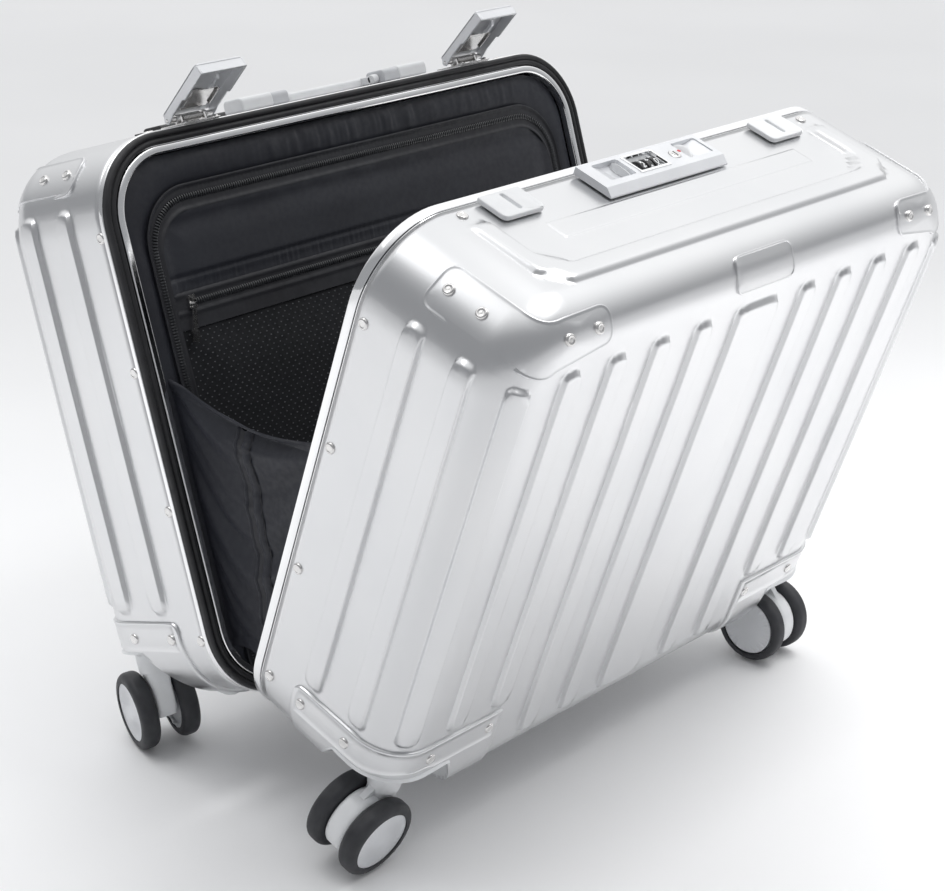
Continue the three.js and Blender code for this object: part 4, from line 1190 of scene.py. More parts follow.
def hook_parts():
    """The hook that reaches into the catch: a tongue with a window, on a tent-shaped root."""
    edge = [(-29.5, LEVER_TOP - 1.2), (-10, LEVER_TOP - 1.2), (-13.6, DECK + 3.6),
            (-16.6, LEVER_FOOT), (-24.2, LEVER_FOOT), (-26, DECK + 3.6)]
    tongue = prism(rounded(edge, [0, 0, 2, 2.2, 2.2, 2], 5), "x", -1.15, 1.15)
    tent = loft_z([(-9.5, 9.5, 9.5, 1.6, LEVER_TOP - 1.2), (-5.0, 5.0, 8.6, 1.6, LEVER_TOP - 3.0),
                   (-1.2, 1.2, 7.4, 0.5, LEVER_TOP - 5.4)])
    return tongue, moved(tent, Matrix.Translation((0, -19.5, 0)))


def draw_latches():
    for side in (-1, 1):
        hand = world_side("back", side)
        local = Matrix.Translation((side * LATCH_X, PIVOT_Y, PIVOT_Z)) @ Matrix.Rotation(-LEVER_OPEN, 4, "X")
        place = HALF["back"] @ local @ Matrix.Translation((0, -PIVOT_Y, -PIVOT_Z))
        body = f"latch_{hand}"
        lever = add_piece(f"{body}_lever_tray", *lever_parts(), place, "satin_diecast", body,
                          replaces=[f"latch_lever_{hand}"])
        bevelled(lever, 0.55, 3)
        tongue, tent = hook_parts()
        hook = add_piece(f"{body}_hook", *tongue, place, "satin_diecast", body)
        window = block(-4, 4, -22.8, -17.6, LEVER_FOOT + 1.7, LEVER_TOP - 3.4)
        cut_away(hook, window, matrix=place)
        bevelled(hook, 0.45, 3)
        add_piece(f"{body}_hook_root", *tent, place, "satin_diecast", body)
        link_plate = prism(rounded([(-12.4, -9.5), (12.4, -9.5), (11, 9), (-11, 9)], 1.2), "z",
                           LEVER_TOP - 3.4, LEVER_TOP - 2.2)
        rails = [block(x - 0.6, x + 0.6, -9.5, 6, LEVER_TOP - 4.8, LEVER_TOP - 2.8) for x in (-11.2, 11.2)]
        bevelled(add_piece(f"{body}_link_plate", *gather(link_plate, *rails), place, "steel", body), 0.35, 2)
        latch_base(side, hand)


def spring_part(x0, x1, radius, wire, turns, steps=14):
    """A coil spring about the X axis, as a closed tube."""
    verts = []
    count = 8
    total = int(turns * steps)
    for i in range(total + 1):
        angle = 2 * math.pi * i / steps
        centre = Vector((x0 + (x1 - x0) * i / total, radius * math.cos(angle), radius * math.sin(angle)))
        outward = Vector((0, math.cos(angle), math.sin(angle)))
        for k in range(count):
            turn = 2 * math.pi * k / count
            verts.append(centre + outward * wire * math.cos(turn) + Vector((1, 0, 0)) * wire * math.sin(turn))
    return verts, tube_faces(total, count)


def latch_base(side, hand):
    """The bent steel plate the lever turns on: base, two ears, pin and spring."""
    x = side * LATCH_X
    base = prism(rounded_box(x - 15, x + 15, 3, 30, 2.0), "z", DECK, DECK + 0.8)
    ears = []
    for way in (-1, 1):
        ear = rounded([(PIVOT_Y - 3.3, DECK + 0.4), (PIVOT_Y + 3.3, DECK + 0.4),
                       (PIVOT_Y + 2.4, PIVOT_Z + 2.9), (PIVOT_Y - 2.4, PIVOT_Z + 2.9)], [0, 0, 2.2, 2.2])
        ears.append(prism(ear, "x", x + way * 9.8 - 0.8, x + way * 9.8 + 0.8))
    turn = Matrix.Translation((x, PIVOT_Y, PIVOT_Z)) @ Matrix.Rotation(math.pi / 2, 4, "Y")
    pin = moved(lathe([(1.0, -19.6), (1.7, -19.2), (1.7, 19.2), (1.0, 19.6)], 20), turn)
    collar = [moved(lathe([(1.5, 0), (2.9, 0.1), (3.1, 0.9), (2.5, 2.0), (0.02, 2.3)], 20),
                    Matrix.Translation((x + way * 10.6, PIVOT_Y, PIVOT_Z))
                    @ Matrix.Rotation(way * math.pi / 2, 4, "Y")) for way in (-1, 1)]
    heads = [moved(lathe([(0.2, 1.5), (1.6, 1.2), (2.4, 0.5), (2.6, 0), (0.2, 0)], 16),
                   Matrix.Translation((x + way * 12, 6.4, DECK + 0.8))) for way in (-1, 1)]
    coil = moved(spring_part(-7.6, 7.6, 2.3, 0.42, 12), Matrix.Translation((x, PIVOT_Y, PIVOT_Z)))
    base_piece = add_piece(f"latch_{hand}_base_plate", *gather(base, *ears), HALF["back"], "steel",
                           "back_half", replaces=[f"latch_bracket_{hand}"])
    bevelled(base_piece, 0.25, 2)
    add_piece(f"latch_{hand}_pin_and_spring", *gather(pin, coil, *collar, *heads), HALF["back"], "steel",
              "back_half")


draw_latches()


def latch_catches():
    for side in (-1, 1):
        hand = world_side("front", side)
        x = side * LATCH_X
        edge = rounded_box(x - 17.5, x + 17.5, 8.5, 32, [1.5, 1.5, 4.5, 4.5])
        catch = add_piece(f"latch_{hand}_catch_plate", *prism(edge, "z", DECK, DECK + 3.2), HALF["front"],
                          "white_plastic", "front_half", replaces=[f"latch_catch_{hand}"])
        slot = prism(rounded_box(x - 1.7, x + 1.7, 11, 27.5, 1.6, 5), "z", DECK + 0.4, DECK + 6)
        cut_away(catch, slot, matrix=HALF["front"])
        bevelled(catch, 1.0, 4)


latch_catches()

# ---- combination lock ----
LOCK_WELL = (-7.0, 23.0, 10.0, 31.0)
DIAL_RADIUS, DIAL_WIDTH, DIAL_PITCH, DIAL_Y, DIAL_Z, DIAL_MIDDLE = 7.6, 5.4, 6.4, 21.5, 364.4, 8.0
BUTTON_X = 38.5
KEY_X = -19.0
LOCK_TOP = DECK + 5
LOCK_WELL_FOOT = 354
COVER_X = (-54, 61)
RECESS_HALF, RECESS_Y = 12, (11, 28.5)


def lock_cover():
    top = LOCK_TOP
    section = [(8, DECK), (8, top), (33.5, top), (38.6, DECK + 1), (38.6, DECK)]
    cover = add_piece("lock_cover", *prism(section, "x", *COVER_X), HALF["front"], "satin_diecast",
                      "front_half", replaces=["lock_housing"])
    x0, x1, y0, y1 = LOCK_WELL
    window = prism(rounded_box(x0 + 1.2, x1 - 1.2, y0 + 1, y1 - 2, 1.2, 4), "z", DECK - 9, top + 1)
    key_bore = moved(lathe([(0.01, -3.2), (4.3, -3.2), (4.3, 3), (0.01, 3)], 28),
                     Matrix.Translation((KEY_X, DIAL_Y, top)))
    recesses = []
    for x in (-BUTTON_X, BUTTON_X):
        edge = rounded_box(x - RECESS_HALF, x + RECESS_HALF, *RECESS_Y, 2.0, 5)
        recesses.append(prism(edge, "z", DECK + 1.2, top + 1))
    cut_away(cover, window, key_bore, *recesses, matrix=HALF["front"])
    bevelled(cover, 0.55, 3, 28)
    low, high = LOCK_WELL_FOOT, DECK + 0.5
    well = gather(block(x0, x1, y0, y1, low + 1.4, low + 2.4), block(x0, x0 + 1.6, y0, y1, low, high),
                  block(x1 - 1.6, x1, y0, y1, low, high), block(x0, x1, y0, y0 + 0.8, low, high),
                  block(x0, x1, y1 - 1.4, y1, low, high))
    axle = moved(lathe([(1.6, -13.4), (1.6, 13.4)], 16),
                 Matrix.Translation((DIAL_MIDDLE, DIAL_Y, DIAL_Z)) @ Matrix.Rotation(math.pi / 2, 4, "Y"))
    shelf = prism([(y0 + 0.6, DECK + 4.4), (y0 + 0.6, DECK - 6), (DIAL_Y - 3.5, DECK - 6),
                   (DIAL_Y - 7.2, DECK + 0.6)], "x", x0 + 1.4, x1 - 1.4)
    cheeks = [block(a, b, y0 + 0.8, y1 - 1.6, DECK - 9, DECK + 2.4)
              for a, b in ((x0 + 1.4, DIAL_MIDDLE - 9.8), (DIAL_MIDDLE + 9.8, x1 - 1.4))]
    add_piece("lock_well", *gather(well, axle, shelf, *cheeks), HALF["front"], "white_plastic", "front_half")
    frame_edge = rounded_box(x0 + 0.2, x1 - 0.2, y0 + 0.2, y1 - 1.2, 1.6, 4)
    hole = prism(rounded_box(x0 + 2.0, x1 - 2.0, y0 + 2.2, y1 - 3.4, 1.0, 4), "z", top - 3, top + 3)
    trim = add_piece("lock_window_trim", *prism(frame_edge, "z", top - 1.6, top + 0.45), HALF["front"],
                     "polished_aluminium", "front_half")
    cut_away(trim, hole, matrix=HALF["front"])
    bevelled(trim, 0.25, 2)


lock_cover()


def slide_buttons():
    """Crescent thumb slides in the two recesses."""
    for side in (-1, 1):
        hand = world_side("front", side)
        verts = []
        steps, rows = 22, 9
        for i in range(steps + 1):
            v = -1 + 2 * i / steps
            y = 19.6 + 7.9 * v
            bow = 2.8 * (1 - v * v)
            x_out = side * (BUTTON_X - 6.4 + bow)
            x_in = side * (BUTTON_X - 10.7 + bow * 0.25)
            lift = 4.6 * math.sqrt(max(1 - 0.82 * v * v, 0))
            for k in range(rows + 1):
                t = k / rows
                crest = math.sin(math.pi * t / 1.6) if t <= 0.8 else 0.0
                verts.append((x_in + (x_out - x_in) * t, y, DECK + 1.5 + lift * crest))
            verts.append((x_out, y, DECK + 1.4))
            verts.append((x_in, y, DECK + 1.4))
        add_piece(f"slide_button_{hand}", verts, tube_faces(steps, rows + 3), HALF["front"], "white_plastic",
                  f"lock_button_{hand}", slot="steel", replaces=[f"lock_button_{hand}"], sharp=50)
        near, far = side * (BUTTON_X + 1.3), side * (BUTTON_X + 11.9)
        slope = prism([(near, DECK + 1.1), (far, DECK + 1.1), (far, DECK + 4.2)], "y", 11.1, 28.4)
        add_piece(f"slide_button_{hand}_ramp", *slope, HALF["front"], "satin_diecast", "front_half")


slide_buttons()


def digit_part(digit, size):
    """One numeral as a flat mesh in the XY plane, about its own middle."""
    curve = bpy.data.curves.new(f"numeral_{digit}", "FONT")
    curve.body = str(digit)
    curve.size = size
    curve.align_x = "CENTER"
    curve.align_y = "CENTER"
    curve.resolution_u = 3
    curve.offset = 0.02 * size
    holder = bpy.data.objects.new("numeral", curve)
    scene.collection.objects.link(holder)
    bpy.context.view_layer.update()
    mesh = bpy.data.meshes.new_from_object(holder.evaluated_get(bpy.context.evaluated_depsgraph_get()))
    verts = [tuple(v.co) for v in mesh.vertices]
    faces = [tuple(p.vertices) for p in mesh.polygons]
    bpy.data.objects.remove(holder)
    return verts, faces


def lock_dials():
    numerals = [digit_part(d, 6.6) for d in range(10)]
    half_width = DIAL_WIDTH / 2
    for i in range(3):
        x = DIAL_MIDDLE + (1 - i) * DIAL_PITCH
        place = HALF["front"] @ Matrix.Translation((x, DIAL_Y, DIAL_Z))
        outer = DIAL_RADIUS - 0.35
        profile = [(2.0, -half_width), (outer - 0.9, -half_width),
                   (outer - 0.2, -half_width + 0.4), (outer, -half_width + 0.8),
                   (outer, half_width - 0.8), (outer - 0.2, half_width - 0.4),
                   (outer - 0.9, half_width), (2.0, half_width)]
        wheel = moved(lathe(profile, 40, closed=True), Matrix.Rotation(math.pi / 2, 4, "Y"))
        body = f"dial_{i + 1}"
        add_piece(f"{body}_wheel", *wheel, place, "black_plastic", body, replaces=[f"lock_dial_{i + 1}"],
                  sharp=30)
        ridge = prism([(-0.35, DIAL_RADIUS - 0.9), (0.35, DIAL_RADIUS - 0.9), (0.0, DIAL_RADIUS - 0.02)],
                      "x", -half_width + 0.1, -half_width + 1.1)
        ridges = [moved(ridge, Matrix.Rotation(2 * math.pi * k / 20, 4, "X")) for k in range(1, 20, 2)]
        digits = []
        for k, (verts, faces) in enumerate(numerals):
            shown = math.radians(36 * (k - 2.4 + i))
            wrapped = []
            for u, v, _ in verts:
                turn = shown + v / DIAL_RADIUS
                radius = DIAL_RADIUS - 0.24
                wrapped.append((-u, radius * math.sin(-turn), radius * math.cos(turn)))
            digits.append((wrapped, faces))
        add_piece(f"{body}_numerals", *gather(*digits), place, "white_plastic", body, slot="white_plastic")
        add_piece(f"{body}_grips", *gather(*ridges), place, "black_plastic", body)


lock_dials()


def key_and_dot():
    """The round key plug with its slot, and the small red dot that shows the lock is set."""
    top = LOCK_TOP
    profile = [(0.01, 0.9), (2.4, 0.9), (2.6, 0.6), (3.4, 0.6), (4.0, 0.2), (4.0, -3.4), (0.01, -3.4)]
    plug = moved(lathe(profile, 32), Matrix.Translation((KEY_X, DIAL_Y, top)))
    key = add_piece("key_plug", *plug, HALF["front"], "steel", "key_cylinder", replaces=["key_cylinder"])
    cut_away(key, block(KEY_X - 0.5, KEY_X + 0.5, DIAL_Y - 2.2, DIAL_Y + 2.2, top - 2.4, top + 2),
             matrix=HALF["front"])
    dot = moved(lathe([(0.01, 0.3), (0.9, 0.28), (1.3, 0.1), (1.3, -0.4), (0.01, -0.4)], 20),
                Matrix.Translation((KEY_X - 6.6, DIAL_Y - 2, top)))
    add_piece("lock_state_dot", *dot, HALF["front"], "red_enamel", "front_half", slot="grey_plastic")


MATERIALS["red_enamel"] = moulded_plastic("red_enamel", (0.62, 0.02, 0.03), (0.7, 0.03, 0.04), 0.3)
key_and_dot()

# ---- carry handle ----
HANDLE_Y, HANDLE_Z = 20.5, 369.4
END_X, END_Y, END_TOP = (45.2, 87), (13, 31), 374.6
CAP_X, CAP_Y, CAP_TOP = (60, 88), (12.4, 31.6), 375.2
GRIP_HALF, GRIP_Y, ARM_INNER_X = 44.8, (30, 48), 39
SCREW_Y, SCREW_Z = 27.0, 370.2


def soft_block(x0, x1, y0, y1, z0, z1, radius):
    """A block whose upper edges along X are well rounded."""
    return prism(rounded_box(y0, y1, z0, z1, [0, 0, radius, radius]), "x", x0, x1)


def carry_handle():
    """The two end fittings with their caps and screws, and the folding grip between them."""
    for side in (-1, 1):
        hand = world_side("back", side)
        x0, x1 = sorted(side * x for x in END_X)
        end = add_piece(f"carry_handle_{hand}_end", *soft_block(x0, x1, *END_Y, DECK, END_TOP, 3.4),
                        HALF["back"], "grey_plastic", "back_half", replaces=[f"handle_bracket_{hand}"])
        bevelled(end, 1.2, 4)
        x0, x1 = sorted(side * x for x in CAP_X)
        cap = add_piece(f"carry_handle_{hand}_cap", *soft_block(x0, x1, *CAP_Y, DECK, CAP_TOP, 3.8),
                        HALF["back"], "white_plastic", "back_half", slot="grey_plastic")
        bevelled(cap, 1.4, 4)
        screw = lathe([(0.01, 0.5), (0.8, 0.5), (0.9, 0.2), (1.1, 0.2), (1.2, 0.55), (2.0, 0.45), (2.3, 0),
                       (0.01, 0)], 20)
        spot = Matrix.Translation((side * END_X[0], SCREW_Y, SCREW_Z))
        turn = spot @ Matrix.Rotation(-side * math.pi / 2, 4, "Y")
        add_piece(f"carry_handle_{hand}_screw", *moved(screw, turn), HALF["back"], "steel", "back_half")
    grip = soft_block(-GRIP_HALF, GRIP_HALF, *GRIP_Y, HANDLE_Z - 3.2, HANDLE_Z + 2.6, 2.2)
    arms = []
    for side in (-1, 1):
        x0, x1 = sorted((side * ARM_INNER_X, side * GRIP_HALF))
        arms.append(soft_block(x0, x1, HANDLE_Y, 34, HANDLE_Z - 3.0, HANDLE_Z + 2.4, 1.6))
        for x, radius, half_length, steps in ((46, 1.8, 6, 16), (41.9, 3.2, 2.9, 24)):
            turn = Matrix.Translation((side * x, HANDLE_Y, HANDLE_Z)) @ Matrix.Rotation(math.pi / 2, 4, "Y")
            arms.append(moved(lathe([(radius, -half_length), (radius, half_length)], steps), turn))
    bar = add_piece("carry_handle_bar", *gather(grip, *arms), HALF["back"], "white_plastic", "carry_handle",
                    replaces=["carry_handle"])
    bevelled(bar, 0.7, 3)


carry_handle()

# ---- trolley handle ----
TUBE_X, TUBE_Y, GRIP_FLOOR = 78.0, 98.0, 357.5
BEZEL = (-104, 104, 85, 110, 347, 367.5)
BEZEL_WELL = (-98.6, 98.6, 86.4, 108.6)
BAR_HALF, BAR_Y, BAR_HEIGHT = 98, (87, 108), 12


def trolley():
    """The bezel let into the top, the two tubes, and the grip bar with its release button."""
    def tube_part(half_x, half_y, radius, low, high):
        return [prism(rounded_box(x - half_x, x + half_x, TUBE_Y - half_y, TUBE_Y + half_y, radius, 4), "z",
                      low, high) for x in (-TUBE_X, TUBE_X)]

    bezel = add_piece("trolley_bezel_frame", *block(*BEZEL), HALF["back"],
                      "black_plastic", "back_half", replaces=["trolley_bezel"])
    throats = tube_part(8.5, 5.5, 1.8, 340, 360)
    well = prism(rounded_box(*BEZEL_WELL, 2.4, 4), "z", GRIP_FLOOR, 369)
    cut_away(bezel, well, *throats, matrix=HALF["back"])
    bevelled(bezel, 0.5, 3)
    z0 = GRIP_FLOOR + 0.3
    edge = rounded_box(*BAR_Y, z0, z0 + BAR_HEIGHT, [1.5, 1.5, 4, 4])
    grip = add_piece("trolley_grip_bar", *prism(edge, "x", -BAR_HALF, BAR_HALF), HALF["back"],
                     "black_plastic", "trolley_top", replaces=["trolley_grip"])
    cut_away(grip, block(-16.4, 16.4, 92.6, 102.4, z0 + 6, z0 + 20), matrix=HALF["back"])
    bevelled(grip, 0.9, 4)
    inner = tube_part(6.4, 3.4, 1.4, 28, z0 + 1)
    add_piece("trolley_inner_tubes", *gather(*inner), HALF["back"], "polished_aluminium", "trolley_top",
              slot="black_plastic")
    button = add_piece("trolley_release_button", *soft_block(-16, 16, 93, 102, z0 + 9.2, z0 + 13.4, 1.6),
                       HALF["back"], "grey_plastic", "trolley_button", replaces=["trolley_button"])
    bevelled(button, 0.6, 3)


trolley()


def cad_finishes():
    """The CAD nodes that stay as they are get the case's own finishes."""
    shown = {"steel": ["hinge_leaf_back_left", "hinge_leaf_back_right", "hinge_leaf_front_left",
                       "hinge_leaf_front_right", "trolley_guide_tubes"],
             "polished_aluminium": ["trolley_middle_tube_left", "trolley_middle_tube_right"]}
    for material, names in shown.items():
        for name in names:
            frame["nodes"][name].data.materials.clear()
            frame["nodes"][name].data.materials.append(MATERIALS[material])


cad_finishes()


# ---- cloth, mesh and zip materials ----
def cloth_material(name, color, other, rough, sheen, crease=0.0005):
    material = new_material(name, color, 0.0, rough)
    shader = material.node_tree.nodes["Principled BSDF"]
    shader.inputs["Sheen Weight"].default_value = sheen
    shader.inputs["Sheen Roughness"].default_value = 0.35
    shader.inputs["Sheen Tint"].default_value = (0.75, 0.8, 1.0, 1)
    vary(material, noise_texture(material, 14, 3), "Base Color", color, other)
    vary(material, noise_texture(material, 240, 3), "Roughness", rough - 0.06, rough + 0.08)
    bump(material, noise_texture(material, 22, 2, (1, 1, 0.45)), 0.35, crease)
    bump(material, noise_texture(material, 1400, 1), 0.3, 0.00004)
    return material


MATERIALS["navy_cloth"] = cloth_material(
    "navy_cloth", (0.014, 0.015, 0.022), (0.018, 0.020, 0.028), 0.58, 0.10)
MATERIALS["zip_tape"] = cloth_material(
    "zip_tape", (0.014, 0.014, 0.018), (0.022, 0.023, 0.028), 0.6, 0.2, 0.0001)
MATERIALS["mesh_net"] = cloth_material(
    "mesh_net", (0.002, 0.003, 0.005), (0.005, 0.006, 0.009), 0.8, 0.0, 0.0002)
MATERIALS["zip_coil"] = moulded_plastic(
    "zip_coil", (0.03, 0.032, 0.036), (0.06, 0.062, 0.066), 0.22, 3000, 0.00002)
# the mesh's raised knots: real bumps, but their grey, far lighter than the near-black net, is a painted
# highlight standing in for the glints on them
MATERIALS["mesh_knot_painted_highlight"] = moulded_plastic("mesh_knot_painted_highlight", (0.05, 0.055, 0.065), (0.11, 0.115, 0.125), 0.42)

# ---- the divider in the back half ----
DIVIDER_Y = 5.0
RIM_INSET = 14.8
CLOTH_LOW = 15.0
FIELD_HALF = 186.0
FLAP_FOOT, FLAP_TOP, FLAP_RADIUS, FLAP_SEAM = 262.0, 313.0, 27.0, 273.0
NET_TOP = 243.0
POCKET_TAPE_FOOT, POCKET_TAPE_TOP, POCKET_COIL_Z = 240.0, 264.0, 256.5


def u_path(half_x, top, radius, low, straight=60, corner=26, across=300):
    """Points down one side, round two corners and down the other: the line of a U-shaped zip."""
    points = []
    for i in range(straight):
        points.append((-half_x, low + (top - radius - low) * i / straight))
    for i in range(corner):
        angle = math.pi - (math.pi / 2) * i / corner
        points.append((-half_x + radius + radius * math.cos(angle), top - radius + radius * math.sin(angle)))
    for i in range(across):
        points.append((-half_x + radius + (2 * half_x - 2 * radius) * i / across, top))
    for i in range(corner):
        angle = math.pi / 2 - (math.pi / 2) * i / corner
        points.append((half_x - radius + radius * math.cos(angle), top - radius + radius * math.sin(angle)))
    for i in range(straight + 1):
        points.append((half_x, top - radius + (low - top + radius) * i / straight))
    return points


def band_between(outer, inner, rows, height):
    """A strip of cloth between two matched paths; height(x, z, along, across) lifts it off the divider."""
    verts = []
    spans = len(outer) - 1
    for i, (a, b) in enumerate(zip(outer, inner)):
        for k in range(rows + 1):
            t = k / rows
            x, z = a[0] + (b[0] - a[0]) * t, a[1] + (b[1] - a[1]) * t
            verts.append((x, DIVIDER_Y - height(x, z, i / spans, t), z))
    return verts, grid_faces(spans, rows)


OUTER_EDGE = u_path(WIDTH / 2 - RIM_INSET, HEIGHT - RIM_INSET, CORNER_RADIUS - RIM_INSET, CLOTH_LOW)
TAPE_OUTER = u_path(197, 330, 38, CLOTH_LOW)
TAPE_INNER = u_path(FIELD_HALF, FLAP_TOP, FLAP_RADIUS, CLOTH_LOW)


def ruched(x, z, across):
    """Gathers that run square to the zip, strongest along the middle of the top."""
    top = float(smoothstep((z - 318) / 14))
    right = float(smoothstep((x - 60) / 110)) * 0.6
    middle = math.exp(-((x + 5) / 75) ** 2)
    strength = (middle + right) * top + 0.12
    wave = noise.noise(Vector((x * 0.11, z * 0.012, 3.1)))
    wave += 0.55 * noise.noise(Vector((x * 0.27, z * 0.02, 8.4)))
    side = 0.5 * noise.noise(Vector((x * 0.03, z * 0.05, 1.7)))
    return strength * 2.3 * wave * math.sin(math.pi * min(across * 0.62 + 0.38, 1)) * across ** 0.4 + side


def border_height(x, z, along, across):
    puff = 2.0 * math.sin(math.pi * across) ** 0.7
    return -1.5 + puff + ruched(x, z, across) * float(smoothstep(across * 3))


def tape_height(x, z, along, across):
    outer_welt = math.exp(-((across - 0.05) / 0.07) ** 2)
    inner_welt = math.exp(-((across - 0.96) / 0.08) ** 2)
    stitches = 0.18 * (0.5 + 0.5 * math.cos(2 * math.pi * along * 330))
    pucker = 0.25 * noise.noise(Vector((x * 0.16, z * 0.16, 5.0)))
    stitch_line = math.exp(-((across - 0.2) / 0.05) ** 2)
    return 0.2 + (1.5 + pucker) * outer_welt + (1.2 + pucker) * inner_welt - stitches * stitch_line


def flap_height(x, z):
    depth = min(FLAP_TOP - z, FIELD_HALF - abs(x))
    lip = 1.6 * math.exp(-(depth / 4.5) ** 2)
    puff = 1.7 * float(smoothstep(depth / 22)) * float(smoothstep((z - 266) / 10))
    crease = 0.7 * noise.noise(Vector((x * 0.014, z * 0.03, 2.2)))
    edge = math.exp(-(depth / 6) ** 2) * 0.5 * noise.noise(Vector((x * 0.06, z * 0.06, 9.0)))
    seam = math.exp(-((z - FLAP_SEAM) / 1.4) ** 2)
    gathers = 0.5 * noise.noise(Vector((x * 0.42, z * 0.03, 4.0))) * math.exp(-((z - 268) / 6) ** 2)
    return -0.4 + lip + puff + crease * float(smoothstep(depth / 10)) + edge - seam + gathers


def flap_half_width(z):
    over = z - (FLAP_TOP - FLAP_RADIUS)
    if over <= 0:
        return FIELD_HALF
    return FIELD_HALF - FLAP_RADIUS + math.sqrt(max(FLAP_RADIUS * FLAP_RADIUS - over * over, 0.0))


def field(z0, z1, rows, columns, half_width, height):
    """A sheet between two heights, as wide as half_width(z) each way."""
    verts, faces = [], []
    for r in range(rows + 1):
        z = z0 + (z1 - z0) * r / rows
        reach = half_width(z)
        for c in range(columns + 1):
            x = -reach + 2 * reach * c / columns
            verts.append((x, DIVIDER_Y - height(x, z), z))
    for r in range(rows):
        for c in range(columns):
            a = r * (columns + 1) + c
            faces.append((a, a + columns + 1, a + columns + 2, a + 1))
    return verts, faces


def coil_teeth(path, height, pitch=1.9, half=2.1, thick=0.5):
    """Zip teeth: a short rounded bar across the path at every pitch."""
    verts, faces = [], []
    carried = 0.0
    for (x0, z0), (x1, z1) in zip(path, path[1:]):
        length = math.hypot(x1 - x0, z1 - z0)
        at = pitch - carried
        while at <= length:
            t = at / length
            middle = Vector((x0 + (x1 - x0) * t, 0, z0 + (z1 - z0) * t))
            along = Vector((x1 - x0, 0, z1 - z0)) / length
            across = Vector((along.z, 0, -along.x))
            base = len(verts)
            y = DIVIDER_Y - height
            for share, lift in ((-1, 0.2), (-0.62, 0.95), (0, 1.15), (0.62, 0.95), (1, 0.2)):
                width = thick * (0.6 if abs(share) == 1 else 1)
                for end in (-1, 1):
                    point = middle + across * (half * share) + along * (end * width)
                    verts.append((point.x, y - lift, point.z))
            for k in range(4):
                a = base + 2 * k
                faces.append((a, a + 1, a + 3, a + 2))
            verts += [(middle.x + across.x * half * s, y + 0.3, middle.z + across.z * half * s)
                      for s in (-1, 1)]
            faces.append((base, base + 2, base + 4, base + 6, base + 8, base + 11, base + 10))
            faces.append((base + 1, base + 10, base + 11, base + 9, base + 7, base + 5, base + 3))
            faces += [(base, base + 10, base + 1), (base + 8, base + 9, base + 11)]
            at += pitch
        carried = (carried + length) % pitch
    return verts, faces


def zip_slider(x, z, angle, height):
    """A slider with its pull tag, lying on the divider; angle turns the tag about the Y axis."""
    body = prism(rounded([(-3.2, -4.5), (3.2, -4.5), (2.4, 4.5), (-2.4, 4.5)], 1.4, 4), "y", -1.6, 0.6)
    bridge = prism([(-5.6, 0), (-4.6, -1.4), (1.4, -1.4), (2.4, 0), (1.4, -0.5), (-4.6, -0.5)],
                   "x", -0.9, 0.9)
    tag = prism(rounded([(-2.0, -24), (2.0, -24), (1.5, -3), (-1.5, -3)], 0.8, 4), "y", -3.2, -2.3)
    knob = prism(rounded_box(-2.6, 2.6, -26, -17.5, 1.2, 4), "y", -3.6, -2.0)
    place = Matrix.Translation((x, DIVIDER_Y - height, z))
    turn = Matrix.Rotation(angle, 4, "Y")
    return gather(moved(body, place), moved(bridge, place), moved(gather(tag, knob), place @ turn))


